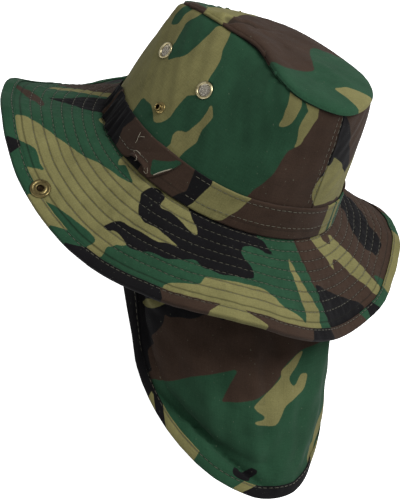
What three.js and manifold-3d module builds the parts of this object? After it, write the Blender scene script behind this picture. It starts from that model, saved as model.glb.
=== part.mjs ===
// Cotton safari hat with a brim and a neck flap, in millimetres.
// The hat stands upright: +Z is up, -Y is the front, +X is the wearer's left side.
// The origin is the middle of the head opening, in the plane where crown and brim meet.
// A turn is an angle round the head: 0 at the front, 90 at the wearer's left, 180 at the back.

import * as THREE from 'three';
import { mergeVertices } from 'three/addons/utils/BufferGeometryUtils.js';
import Module from 'manifold-3d';

const wasm = await Module();
wasm.setup();

// Gap between pieces that are sewn or pressed together
const GAP = 0.3;

// Head opening, measured to the outside of the crown cloth
const HEAD_HALF_LENGTH = 101;
const HEAD_HALF_WIDTH = 90;

// Crown
const CROWN_CLOTH = 1.4;
const CROWN_COLUMNS = 54;
const CROWN_RISES = [0.006, 0.14, 0.28, 0.42, 0.56, 0.7, 0.82, 0.92, 1];
const LOWER_HANDLE = 0.4;
const SHOULDER_DROP = 5;
const TIP_LIP = 1.2;
const TIP_PUFF = 4;
const TIP_RINGS = [1, 0.93, 0.8, 0.58, 0.3];

// Band round the foot of the crown, with one end lapped over the other
const BAND_HEIGHT = 24;
const BAND_CLOTH = 1.1;
const BAND_COLUMNS = 60;
const BAND_SHARES = [0.02, 0.5, 1];
const BAND_END = 118;
const BAND_LAP = 15;

// Brim and the binding folded over its edge
const BRIM_WIDTH = 76;
const BRIM_CLOTH = 2.4;
const BRIM_BEND = 4;
const BRIM_COLUMNS = 64;
const BRIM_STEPS = [0.06, 0.45];
const BINDING_WIDTH = 9.5;
const BINDING_CLOTH = 1;
const BRIM_EDGE = BRIM_WIDTH - BINDING_CLOTH - GAP;

// Neck flap and the binding folded over its hem
const FLAP_CLOTH = 1.2;
const FLAP_HALF_TURN = 97;
const FLAP_TAPER = 0.16;
const FLAP_LENGTH = 184;
const FLAP_COLUMNS = 41;
const FLAP_STEPS = 10;
const FLAP_INSET = 0.6;
const FLAP_HANG = new THREE.Vector3(0, 0.545, -0.839).normalize();
const FLAP_BINDING_WIDTH = 7;
const FLAP_BINDING_CLOTH = 0.8;
const FLAP_BINDING_SKIPS = 3;

// Brass fittings
const VENT_RADIUS = 7.2;
const VENT_BORE = 4.9;
const VENT_BARREL = 0.7;
const SCREEN_THICKNESS = 0.4;
const STUD_BASE_RADIUS = 4.6;
const STUD_POST_RADIUS = 2.1;
const STUD_HEIGHT = 4.2;
const SOCKET_RADIUS = 7.8;
const SOCKET_BORE = 3;
const SOCKET_HEIGHT = 1.5;
const FITTING_SIDES = 16;
const STUD_RISE = 0.313;
const SOCKET_REACH = 0.895;

// Seam between crown wall and tip, one row every 22.5 degrees of turn from the front.
// left, back and up place the seam, and shoulder is how far the wall rounds out below it.
const TIP_SEAM = [
  { left: 5, back: -63, up: 90, shoulder: 9 },
  { left: 30, back: -59, up: 94, shoulder: 11 },
  { left: 47, back: -47, up: 98, shoulder: 10 },
  { left: 46, back: -25, up: 103, shoulder: 15 },
  { left: 39, back: -2, up: 105, shoulder: 19 },
  { left: 30, back: 22, up: 106, shoulder: 20 },
  { left: 34, back: 54, up: 104, shoulder: 14 },
  { left: 28, back: 79, up: 102, shoulder: 7 },
  { left: 5, back: 94, up: 101, shoulder: 3 },
  { left: -19, back: 88, up: 101, shoulder: 3 },
  { left: -44, back: 68, up: 101, shoulder: 4 },
  { left: -62, back: 38, up: 97, shoulder: 5 },
  { left: -67, back: 5, up: 92, shoulder: 6 },
  { left: -62, back: -24, up: 89, shoulder: 8 },
  { left: -49, back: -44, up: 88, shoulder: 9 },
  { left: -24, back: -58, up: 88, shoulder: 9 },
];

// Foot of the hat, in rows like those of the tip seam: how far the head opening is pressed in
// from its oval, and the droop of the brim below level in degrees
const FOOT_SHAPE = [
  { pressedIn: 1, droop: 33 },
  { pressedIn: 3.5, droop: 31 },
  { pressedIn: 4, droop: 19 },
  { pressedIn: 1.5, droop: 10 },
  { pressedIn: 0, droop: 28 },
  { pressedIn: 0, droop: 41 },
  { pressedIn: 0, droop: 31 },
  { pressedIn: 0, droop: 21 },
  { pressedIn: 0, droop: 32 },
  { pressedIn: 0, droop: 42 },
  { pressedIn: 1, droop: 33 },
  { pressedIn: 2.5, droop: 22 },
  { pressedIn: 3, droop: 27.5 },
  { pressedIn: 1.5, droop: 35 },
  { pressedIn: 0, droop: 31 },
  { pressedIn: 0, droop: 26 },
];

// Flap, from the back centre seam round to its front edge: degrees from the back, and drop
const FLAP_SHAPE = [
  { fromBack: 0, drop: 183 },
  { fromBack: 14, drop: 183 },
  { fromBack: 27, drop: 181 },
  { fromBack: 36, drop: 179 },
  { fromBack: 44, drop: 176 },
  { fromBack: 52, drop: 171 },
  { fromBack: 58, drop: 166 },
  { fromBack: 63, drop: 160 },
  { fromBack: 67, drop: 154 },
  { fromBack: 71, drop: 146 },
  { fromBack: 74, drop: 136 },
  { fromBack: 76, drop: 117 },
  { fromBack: 79, drop: 102 },
  { fromBack: 82, drop: 86 },
  { fromBack: 86, drop: 68 },
  { fromBack: 97, drop: 14 },
];

// Roll of the flap beside its hem: distance in from the hem, and how far the cloth stands out
const HEM_ROLL = [
  { inFromHem: 0, out: 2 },
  { inFromHem: 8, out: 0 },
  { inFromHem: 20, out: -5 },
  { inFromHem: 36, out: -3 },
  { inFromHem: 60, out: 0 },
];

// Vents, by turn and rise up the crown wall
const VENTS = [
  { name: 'left_front', turn: 70, rise: 0.54 },
  { name: 'left_back', turn: 106, rise: 0.52 },
  { name: 'right_front', turn: 290, rise: 0.58 },
  { name: 'right_back', turn: 254, rise: 0.55 },
];

// The two snaps that hold the brim up against the crown
const SNAPS = [
  { name: 'left', studTurn: 93, socketTurn: 90.6 },
  { name: 'right', studTurn: 269, socketTurn: 272 },
];

const COLOURS = {
  khaki: 0x7d7852,
  green: 0x27503a,
  brown: 0x3d2c26,
  black: 0x14161a,
  brass: 0x8f7f4d,
  steel: 0x8a8a86,
};

const UP = new THREE.Vector3(0, 0, 1);

function radians(degrees) {
  return THREE.MathUtils.degToRad(degrees);
}

// Smooth closed curve through one column of a table whose rows are evenly spaced round the head
function roundTable(rows, column, turn) {
  const place = (((turn % 360) + 360) % 360) / (360 / rows.length);
  const row = Math.floor(place);
  const [before, from, to, after] = [-1, 0, 1, 2].map(
    (step) => rows[(row + step + rows.length) % rows.length][column],
  );
  return hermite(from, to, (to - before) / 2, (after - from) / 2, place - row);
}

function hermite(from, to, slopeFrom, slopeTo, t) {
  const rise = t * t * (3 - 2 * t);
  return from + (to - from) * rise + slopeFrom * t * (1 - t) ** 2 - slopeTo * t * t * (1 - t);
}

// Straight-line reading of an open table by its key column
function openTable(rows, key, column, at) {
  const next = rows.findIndex((row) => row[key] >= at);
  if (next <= 0) {
    return next === 0 ? rows[0][column] : rows[rows.length - 1][column];
  }
  const low = rows[next - 1];
  const high = rows[next];
  const t = (at - low[key]) / (high[key] - low[key]);
  return THREE.MathUtils.lerp(low[column], high[column], t);
}

// Head opening: a point on its outline, and the level direction square to it
function headPoint(turn) {
  const angle = radians(turn);
  const oval = new THREE.Vector3(
    HEAD_HALF_WIDTH * Math.sin(angle), -HEAD_HALF_LENGTH * Math.cos(angle), 0,
  );
  return oval.addScaledVector(headOutward(turn), -roundTable(FOOT_SHAPE, 'pressedIn', turn));
}

function headOutward(turn) {
  const angle = radians(turn);
  return new THREE.Vector3(
    Math.sin(angle) / HEAD_HALF_WIDTH, -Math.cos(angle) / HEAD_HALF_LENGTH, 0,
  ).normalize();
}

function seamPoint(turn) {
  return new THREE.Vector3(
    roundTable(TIP_SEAM, 'left', turn),
    roundTable(TIP_SEAM, 'back', turn),
    roundTable(TIP_SEAM, 'up', turn),
  );
}

// Outer face of the crown wall: rise runs from 0 at the brim to 1 at the tip seam
function crownFace(turn, rise) {
  const foot = headPoint(turn);
  const seam = seamPoint(turn);
  const shoulder = seam.clone()
    .addScaledVector(headOutward(turn), roundTable(TIP_SEAM, 'shoulder', turn))
    .addScaledVector(UP, -SHOULDER_DROP);
  const handle = foot.clone().lerp(shoulder, LOWER_HANDLE);
  return new THREE.CubicBezierCurve3(foot, handle, shoulder, seam).getPoint(rise);
}

// Direction square to a surface, on its outer side
function squareTo(surface, turn, along) {
  const nudge = 0.02;
  const across = surface.at(turn + 1, along).sub(surface.at(turn - 1, along));
  const up = surface.at(turn, along + nudge).sub(surface.at(turn, along - nudge));
  return across.cross(up).normalize().multiplyScalar(surface.outside);
}

function shifted(surface, turn, along, distance) {
  return surface.at(turn, along).addScaledVector(squareTo(surface, turn, along), distance);
}

// Closed body from rings of points: each ring is a loop of the section, in order along the piece
function bodyFromSections(sections, closed) {
  const size = sections[0].length;
  const positions = sections.flat().flatMap((point) => [point.x, point.y, point.z]);
  const index = [];
  const spans = closed ? sections.length : sections.length - 1;
  for (let i = 0; i < spans; i += 1) {
    const next = (i + 1) % sections.length;
    for (let j = 0; j < size; j += 1) {
      const k = (j + 1) % size;
      const corners = [i * size + j, i * size + k, next * size + k, next * size + j];
      index.push(corners[0], corners[2], corners[1], corners[0], corners[3], corners[2]);
    }
  }
  if (!closed) {
    const last = (sections.length - 1) * size;
    capEnd(index, size, 0, false);
    capEnd(index, size, last, true);
  }
  const geometry = new THREE.BufferGeometry();
  geometry.setAttribute('position', new THREE.Float32BufferAttribute(positions, 3));
  geometry.setIndex(index);
  return facingOut(geometry);
}

// Ends of an open body: the section is a strip, so its two long sides are joined pair by pair
function capEnd(index, size, start, last) {
  for (let j = 0; j < size / 2 - 1; j += 1) {
    const quad = [start + j, start + j + 1, start + size - 2 - j, start + size - 1 - j];
    const order = last ? [0, 2, 1, 0, 3, 2] : [0, 1, 2, 0, 2, 3];
    index.push(...order.map((corner) => quad[corner]));
  }
}

// Turns every triangle over when the volume comes out negative
function facingOut(geometry) {
  const position = geometry.getAttribute('position');
  const index = geometry.getIndex();
  const [a, b, c] = [new THREE.Vector3(), new THREE.Vector3(), new THREE.Vector3()];
  let volume = 0;
  for (let i = 0; i < index.count; i += 3) {
    a.fromBufferAttribute(position, index.getX(i));
    b.fromBufferAttribute(position, index.getX(i + 1));
    c.fromBufferAttribute(position, index.getX(i + 2));
    volume += a.dot(b.cross(c));
  }
  if (volume < 0) {
    for (let i = 0; i < index.count; i += 3) {
      const second = index.getX(i + 1);
      index.setX(i + 1, index.getX(i + 2));
      index.setX(i + 2, second);
    }
  }
  return geometry;
}

// Sheet of cloth on a surface. At each turn, measures gives the places across the cloth and
// lift how far its inner face stands off the surface.
function clothSheet(surface, turns, measures, thickness, lift, closed) {
  const sections = turns.map((turn) => {
    const low = lift(turn);
    const places = measures(turn);
    const front = places.map((along) => shifted(surface, turn, along, low + thickness));
    const back = places.map((along) => shifted(surface, turn, along, low));
    return [...front, ...back.reverse()];
  });
  return bodyFromSections(sections, closed);
}

function spread(count, from, to, closed) {
  const spans = closed ? count : count - 1;
  return Array.from({ length: count }, (_, i) => from + ((to - from) * i) / spans);
}

function solid(geometry) {
  const bare = new THREE.BufferGeometry();
  bare.setAttribute('position', geometry.getAttribute('position').clone());
  if (geometry.getIndex()) {
    bare.setIndex(geometry.getIndex().clone());
  }
  const merged = mergeVertices(bare, 1e-4);
  return new wasm.Manifold(new wasm.Mesh({
    numProp: 3,
    vertProperties: new Float32Array(merged.getAttribute('position').array),
    triVerts: new Uint32Array(merged.getIndex().array),
  }));
}

function geometryOf(body) {
  const mesh = body.getMesh();
  const geometry = new THREE.BufferGeometry();
  geometry.setAttribute('position', new THREE.BufferAttribute(mesh.vertProperties, 3));
  geometry.setIndex(new THREE.BufferAttribute(mesh.triVerts, 1));
  return geometry;
}

// Keeps the triangles whose three corners differ
function withoutSlivers(index) {
  const kept = [];
  for (let i = 0; i < index.length; i += 3) {
    const [a, b, c] = index.slice(i, i + 3);
    if (a !== b && b !== c && c !== a) {
      kept.push(a, b, c);
    }
  }
  return kept;
}

// Round fitting turned from a half profile of [radius, height] points
function turned(profile) {
  const points = [...profile, profile[0]].map(([radius, height]) => (
    new THREE.Vector2(radius, height)
  ));
  const geometry = new THREE.LatheGeometry(points, FITTING_SIDES);
  geometry.rotateX(Math.PI / 2);
  geometry.deleteAttribute('normal');
  geometry.deleteAttribute('uv');
  const merged = mergeVertices(geometry, 1e-4);
  merged.setIndex(withoutSlivers([...merged.getIndex().array]));
  return facingOut(merged);
}

const group = new THREE.Group();

function addPiece(name, geometry, colour, roughness, metalness) {
  const material = new THREE.MeshStandardMaterial({ color: colour, roughness, metalness });
  const mesh = new THREE.Mesh(geometry, material);
  mesh.name = name;
  group.add(mesh);
  return mesh;
}

// Seats a round fitting on a surface, its own axis along the surface's square direction
function seat(mesh, surface, turn, along) {
  const outward = squareTo(surface, turn, along);
  mesh.position.copy(surface.at(turn, along));
  mesh.quaternion.setFromUnitVectors(UP, outward);
}

// Crown wall, with a hole for each vent barrel
function crownSide() {
  const turns = spread(CROWN_COLUMNS, 0, 360, true);
  let wall = solid(
    clothSheet(CROWN_WALL, turns, () => CROWN_RISES, CROWN_CLOTH, () => -CROWN_CLOTH, true),
  );
  const drill = new THREE.CylinderGeometry(
    VENT_BORE + VENT_BARREL + GAP, VENT_BORE + VENT_BARREL + GAP, 12, FITTING_SIDES,
  );
  drill.rotateX(Math.PI / 2);
  for (const vent of VENTS) {
    const cutter = drill.clone();
    const outward = squareTo(CROWN_WALL, vent.turn, vent.rise);
    cutter.applyQuaternion(new THREE.Quaternion().setFromUnitVectors(UP, outward));
    cutter.translate(...crownFace(vent.turn, vent.rise));
    wall = wall.subtract(solid(cutter));
  }
  return geometryOf(wall);
}

// Tip: an oval lid of cloth that lies on the wall's upper edge and puffs up in the middle
function crownTip() {
  const turns = spread(CROWN_COLUMNS, 0, 360, true);
  const centre = new THREE.Vector3();
  turns.forEach((turn) => centre.addScaledVector(seamPoint(turn), 1 / turns.length));
  const level = (turn, ring, height) => {
    const rim = seamPoint(turn).addScaledVector(headOutward(turn), TIP_LIP);
    const point = centre.clone().lerp(rim, ring);
    return point.addScaledVector(UP, GAP + height + TIP_PUFF * (1 - ring ** 3));
  };
  const positions = [];
  const index = [];
  const rings = TIP_RINGS.length;
  const columns = turns.length;
  [0, CROWN_CLOTH].forEach((height, side) => {
    turns.forEach((turn) => {
      TIP_RINGS.forEach((ring) => positions.push(...level(turn, ring, height)));
    });
    positions.push(...level(0, 0, height));
    const start = side * (columns * rings + 1);
    const pole = start + columns * rings;
    for (let i = 0; i < columns; i += 1) {
      const here = start + i * rings;
      const next = start + ((i + 1) % columns) * rings;
      for (let j = 0; j < rings - 1; j += 1) {
        pushQuad(index, [here + j, next + j, next + j + 1, here + j + 1], side === 0);
      }
      const apex = [here + rings - 1, next + rings - 1, pole];
      index.push(...(side === 0 ? apex.reverse() : apex));
    }
  });
  const upper = columns * rings + 1;
  for (let i = 0; i < columns; i += 1) {
    const here = i * rings;
    const next = ((i + 1) % columns) * rings;
    pushQuad(index, [here, next, upper + next, upper + here], false);
  }
  const geometry = new THREE.BufferGeometry();
  geometry.setAttribute('position', new THREE.Float32BufferAttribute(positions, 3));
  geometry.setIndex(index);
  return facingOut(geometry);
}

function pushQuad(index, [a, b, c, d], flipped) {
  index.push(...(flipped ? [a, c, b, a, d, c] : [a, b, c, a, c, d]));
}

// Rise on the crown wall that lies at a height above the brim
function riseAtHeight(turn, height) {
  let low = 0;
  let high = 1;
  for (let i = 0; i < 16; i += 1) {
    const middle = (low + high) / 2;
    if (crownFace(turn, middle).z < height) {
      low = middle;
    } else {
      high = middle;
    }
  }
  return (low + high) / 2;
}

function bandFace(turn, share) {
  return crownFace(turn, riseAtHeight(turn, GAP + share * BAND_HEIGHT));
}

// Band: a strip that runs once round the foot of the wall and laps over its own start
function hatBand() {
  const surface = { at: bandFace, outside: 1 };
  const turns = spread(BAND_COLUMNS, BAND_END - 360 - BAND_LAP, BAND_END, false);
  const lift = (turn) => {
    const lap = THREE.MathUtils.smoothstep(turn, BAND_END - BAND_LAP * 2, BAND_END - BAND_LAP);
    return GAP + lap * (BAND_CLOTH + GAP);
  };
  return clothSheet(surface, turns, () => BAND_SHARES, BAND_CLOTH, lift, false);
}

// Upper face of the brim at a distance out from the head opening
function brimPoint(turn, distance, below) {
  const droop = radians(roundTable(FOOT_SHAPE, 'droop', turn));
  const out = headOutward(turn);
  const bend = THREE.MathUtils.clamp(distance / BRIM_BEND + 0.5, 0, 1);
  const eased = roundTable(FOOT_SHAPE, 'pressedIn', turn) * Math.max(0, distance / BRIM_EDGE);
  const point = headPoint(turn).addScaledVector(UP, -GAP);
  point.addScaledVector(out, eased + (distance > 0 ? distance * Math.cos(droop) : distance));
  point.addScaledVector(UP, distance > 0 ? -distance * Math.sin(droop) : 0);
  point.addScaledVector(out, -below * Math.sin(droop * bend));
  point.addScaledVector(UP, -below * Math.cos(droop * bend));
  return point;
}

function brim() {
  const distances = [
    -CROWN_CLOTH, 0, ...BRIM_STEPS.map((step) => step * BRIM_EDGE),
    BRIM_EDGE - BINDING_WIDTH, BRIM_EDGE,
  ];
  const sections = spread(BRIM_COLUMNS, 0, 360, true).map((turn) => [
    ...distances.map((distance) => brimPoint(turn, distance, 0)),
    ...distances.map((distance) => brimPoint(turn, distance, BRIM_CLOTH)).reverse(),
  ]);
  return bodyFromSections(sections, true);
}

// Folded binding in section: distance in from the cloth's edge, and height above its middle
function foldedSection(width, cloth, binding) {
  const inside = cloth / 2 + GAP;
  const outside = inside + binding;
  return [
    [-width, inside], [GAP, inside], [GAP, 0], [GAP, -inside], [-width, -inside],
    [-width, -outside], [GAP, -outside], [GAP + binding, 0], [GAP, outside], [-width, outside],
  ];
}

function brimBinding() {
  const section = foldedSection(BINDING_WIDTH, BRIM_CLOTH, BINDING_CLOTH);
  const sections = spread(BRIM_COLUMNS, 0, 360, true).map((turn) => section.map(
    ([reach, height]) => brimPoint(turn, BRIM_EDGE + reach, BRIM_CLOTH / 2 - height),
  ));
  return bodyFromSections(sections, true);
}

function flapDrop(turn) {
  return openTable(FLAP_SHAPE, 'fromBack', 'drop', Math.abs(turn - 180));
}

// How far one step of drop runs along the cloth square to the hem
function squareToHem(turn) {
  const step = 2;
  const run = headPoint(turn + step).distanceTo(headPoint(turn - step));
  const fall = flapDrop(turn + step) - flapDrop(turn - step);
  return run / Math.hypot(run, fall);
}

// Share of the flap's drop that a distance square to the hem takes up
function hemShare(turn, distance) {
  return distance / (flapDrop(turn) * squareToHem(turn));
}

// Outer face of the flap: share runs from 0 at the brim to 1 at the hem
function flapFace(turn, share) {
  const drop = flapDrop(turn);
  const inFromHem = drop * (1 - share) * squareToHem(turn);
  const strength = 1 - THREE.MathUtils.smoothstep(turn, 170, 210);
  const roll = openTable(HEM_ROLL, 'inFromHem', 'out', inFromHem);
  const out = roll * strength * Math.min(1, share * 2);
  const level = headOutward(turn);
  const point = headPoint(turn).addScaledVector(level, -FLAP_INSET);
  point.z = -(GAP + BRIM_CLOTH + GAP);
  point.addScaledVector(FLAP_HANG, drop * share).addScaledVector(level, out);
  point.x *= 1 - FLAP_TAPER * (drop * share / FLAP_LENGTH) ** 4;
  return point;
}

// Turns that crowd together towards the flap's two front edges
const FLAP_TURNS = spread(FLAP_COLUMNS, -90, 90, false).map(
  (step) => 180 + FLAP_HALF_TURN * Math.sin(radians(step)),
);

function neckFlap() {
  const shares = (turn) => [
    ...spread(FLAP_STEPS, 0, 1 - hemShare(turn, FLAP_BINDING_WIDTH), false), 1,
  ];
  return clothSheet(FLAP, FLAP_TURNS, shares, FLAP_CLOTH, () => -FLAP_CLOTH, false);
}

function flapBinding() {
  const section = foldedSection(FLAP_BINDING_WIDTH, FLAP_CLOTH, FLAP_BINDING_CLOTH);
  const turns = FLAP_TURNS.slice(FLAP_BINDING_SKIPS, -FLAP_BINDING_SKIPS);
  const sections = turns.map((turn) => section.map(
    ([reach, height]) => shifted(FLAP, turn, 1 + hemShare(turn, reach), height - FLAP_CLOTH / 2),
  ));
  return bodyFromSections(sections, false);
}

function ventRing() {
  return turned([
    [VENT_BORE, -2.2], [VENT_BORE + VENT_BARREL, -2.2], [VENT_BORE + VENT_BARREL, GAP],
    [VENT_RADIUS, GAP], [VENT_RADIUS - 0.5, GAP + 0.8], [VENT_BORE + 0.8, GAP + 1.2],
    [VENT_BORE, GAP + 0.6],
  ]);
}

function ventScreen() {
  return turned([
    [0, -SCREEN_THICKNESS / 2], [VENT_BORE - GAP, -SCREEN_THICKNESS / 2],
    [VENT_BORE - GAP, SCREEN_THICKNESS / 2], [0, SCREEN_THICKNESS / 2],
  ]);
}

function stud() {
  return turned([
    [0, GAP], [STUD_BASE_RADIUS, GAP], [STUD_BASE_RADIUS - 0.4, GAP + 0.7],
    [STUD_POST_RADIUS * 0.85, GAP + 0.9], [STUD_POST_RADIUS * 0.85, STUD_HEIGHT * 0.55],
    [STUD_POST_RADIUS, STUD_HEIGHT * 0.75], [STUD_POST_RADIUS * 0.7, STUD_HEIGHT],
    [0, STUD_HEIGHT],
  ]);
}

// The socket ring stands on the brim's binding, which runs under its outer half
function socket() {
  const foot = GAP + BINDING_CLOTH + GAP;
  return turned([
    [SOCKET_BORE, foot], [SOCKET_RADIUS, foot], [SOCKET_RADIUS - 0.4, foot + 0.8],
    [SOCKET_RADIUS - 2.2, foot + SOCKET_HEIGHT], [SOCKET_BORE + 0.6, foot + 0.9],
    [SOCKET_BORE, foot + 0.5],
  ]);
}

const CROWN_WALL = { at: crownFace, outside: 1 };
const BRIM_TOP = { at: (turn, share) => brimPoint(turn, share * BRIM_EDGE, 0), outside: -1 };
const FLAP = { at: flapFace, outside: -1 };

addPiece('crown_side', crownSide(), COLOURS.green, 0.9, 0);
addPiece('crown_tip', crownTip(), COLOURS.brown, 0.9, 0);
addPiece('hat_band', hatBand(), COLOURS.brown, 0.9, 0);
addPiece('brim', brim(), COLOURS.khaki, 0.9, 0);
addPiece('brim_binding', brimBinding(), COLOURS.green, 0.9, 0);
addPiece('neck_flap', neckFlap(), COLOURS.green, 0.9, 0);
addPiece('flap_binding', flapBinding(), COLOURS.black, 0.9, 0);

for (const vent of VENTS) {
  const ring = addPiece(`vent_ring_${vent.name}`, ventRing(), COLOURS.brass, 0.4, 1);
  seat(ring, CROWN_WALL, vent.turn, vent.rise);
  const screen = addPiece(`vent_screen_${vent.name}`, ventScreen(), COLOURS.steel, 0.6, 0.6);
  seat(screen, CROWN_WALL, vent.turn, vent.rise);
}

for (const snap of SNAPS) {
  const post = addPiece(`crown_stud_${snap.name}`, stud(), COLOURS.brass, 0.4, 1);
  seat(post, CROWN_WALL, snap.studTurn, STUD_RISE);
  const cap = addPiece(`brim_socket_${snap.name}`, socket(), COLOURS.brass, 0.4, 1);
  seat(cap, BRIM_TOP, snap.socketTurn, SOCKET_REACH);
}

export default group;
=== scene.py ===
import math

import bmesh
import bpy
import numpy as np
from mathutils import Matrix, Vector


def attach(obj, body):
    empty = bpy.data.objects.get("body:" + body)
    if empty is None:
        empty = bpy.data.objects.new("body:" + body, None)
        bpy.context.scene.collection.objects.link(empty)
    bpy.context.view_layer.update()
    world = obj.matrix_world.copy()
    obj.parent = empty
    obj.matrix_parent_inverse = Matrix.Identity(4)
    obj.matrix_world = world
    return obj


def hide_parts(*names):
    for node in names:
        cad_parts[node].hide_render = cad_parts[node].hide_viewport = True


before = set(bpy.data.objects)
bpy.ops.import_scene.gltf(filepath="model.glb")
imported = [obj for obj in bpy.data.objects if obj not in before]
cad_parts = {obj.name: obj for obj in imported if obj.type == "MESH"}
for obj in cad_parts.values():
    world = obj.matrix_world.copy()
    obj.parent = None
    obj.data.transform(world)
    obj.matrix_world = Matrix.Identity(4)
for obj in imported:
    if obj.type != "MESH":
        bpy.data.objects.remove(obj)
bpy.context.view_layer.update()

# Sizes in millimetres, as in the hat's solids. A turn is an angle round the head:
# 0 at the front, 90 at the wearer's left, 180 at the back.
MM = 0.001
UP = np.array([0, 0, 1.0])
GAP = 0.3
HEAD_HALF_LENGTH = 101
HEAD_HALF_WIDTH = 90
CROWN_CLOTH = 1.4
LOWER_HANDLE = 0.4
SHOULDER_DROP = 5
TIP_LIP = 1.2
TIP_PUFF = 4
BAND_HEIGHT = 24
BAND_CLOTH = 1.1
BAND_END = 118
BAND_LAP = 15
BRIM_WIDTH = 76
BRIM_CLOTH = 2.4
BRIM_BEND = 4
BINDING_WIDTH = 7.5
BINDING_CLOTH = 1
BRIM_EDGE = BRIM_WIDTH - BINDING_CLOTH - GAP
BRIM_ROWS = [2.5 + 7.5 * row for row in range(9)]
FLAP_CLOTH = 1.2
FLAP_HALF_TURN = 97
FLAP_TAPER = 0.16
FLAP_LENGTH = 184
FLAP_INSET = 0.6
FLAP_HANG = np.array([0, 0.545, -0.839]) / math.hypot(0.545, 0.839)
FLAP_BINDING_WIDTH = 7
FLAP_BINDING_CLOTH = 0.8
VENT_BORE = 4.9
STUD_RISE = 0.313
SOCKET_REACH = 0.88
BACK_SEAM = 185.5
TIP_LAP = 0.982
BAND_UPPER_ROW = 20.8
GROOVE_WIDTH = 0.7

# Cloth to one degree of turn, and up the crown, where a panel is laid flat
CROWN_RUN = 1.67
BACK_RUN = 1.5
CROWN_CLIMB = 112
RIM_RUN = 2.97
FLAP_RUN = 1.6
HEM_RUN = 2.2
BAND_RADIUS = 95
BRIM_RADIUS = 96

# How far off a colour or a stitched line counts as when none is near
NO_COLOUR = 40.0
NO_SEAM = 9.0

# Tip seam, one row every 22.5 degrees: left, back, up, and how far the wall rounds out below it
TIP_SEAM = np.array([
    (5, -63, 90, 9), (30, -59, 94, 11), (47, -47, 98, 10), (46, -25, 103, 15),
    (39, -2, 105, 19), (30, 22, 106, 20), (34, 54, 104, 14), (28, 79, 102, 7),
    (5, 94, 101, 3), (-19, 88, 101, 3), (-44, 68, 101, 4), (-62, 38, 97, 5),
    (-67, 5, 92, 6), (-62, -24, 89, 8), (-49, -44, 88, 9), (-24, -58, 88, 9)], float)

# Foot of the hat: how far the head opening is pressed in, and the brim's droop in degrees
FOOT_SHAPE = np.array([
    (1, 33), (3.5, 31), (4, 19), (1.5, 10), (0, 28), (0, 41), (0, 31), (0, 21),
    (0, 32), (0, 42), (1, 33), (2.5, 22), (3, 27.5), (1.5, 35), (0, 31), (0, 26)], float)

# Flap: degrees from the back centre, and drop
FLAP_SHAPE = np.array([
    (0, 183), (14, 183), (27, 181), (36, 179), (44, 176), (52, 171), (58, 166), (63, 160),
    (67, 154), (71, 146), (74, 136), (76, 117), (79, 102), (82, 86), (86, 68), (97, 14)], float)

# Turns where the hem is cut a little shorter on the left: turn, and how much
FLAP_TRIM = np.array([
    (86, 0), (95, 3), (100, 6), (105, 8), (110, 6.5), (115, 5.5), (125, 4.2), (135, 3),
    (145, 1.6), (158, 0.8), (170, 0)], float)

# Roll of the flap beside its hem: distance in from the hem, and how far the cloth stands out
HEM_ROLL = np.array([(0, 2), (8, 0), (20, -5), (36, -3), (60, 0)], float)

# Valley where the flap folds beside its hem: turn, distance in from the hem, and depth
HEM_VALLEY = np.array([
    (100, 6, 0), (108, 7, 2), (116, 8.6, 4.5), (124, 14.5, 6.5), (133, 19.5, 8.2),
    (141, 20, 8.6), (151, 17.6, 8.6), (157, 15.2, 8.4), (163, 12.6, 7.6), (168, 9.6, 6.2),
    (172, 6.8, 4), (180, 4.5, 0)], float)

# Where the rim lifts or sinks a little: turn, and rise at the rim
RIM_LIFT = np.array([
    (0, 0), (10, -2.8), (20, -1.8), (30, 0), (35, 2.4), (40, 4.4), (45, 5.6), (50, 4.6),
    (56, 2.2), (64, 0.4), (72, 0), (234, 0), (242, 0.4), (248, 2), (254, 3.4), (260, 4.2),
    (266, 2), (272, -3), (278, -4.5), (288, -1), (296, 0), (344, 1), (352, 2.6), (360, 0)], float)

# Pinch in the tip, as a line from the edge towards the front: turn, and share of the way out
PINCH = [(84, 1.0), (343, 0.415)]

VENTS = {
    "left_front": (70, 0.54), "left_back": (106, 0.52),
    "right_front": (290, 0.58), "right_back": (254, 0.55)}
SNAPS = {"left": (93, 91.3), "right": (269, 272)}

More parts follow.
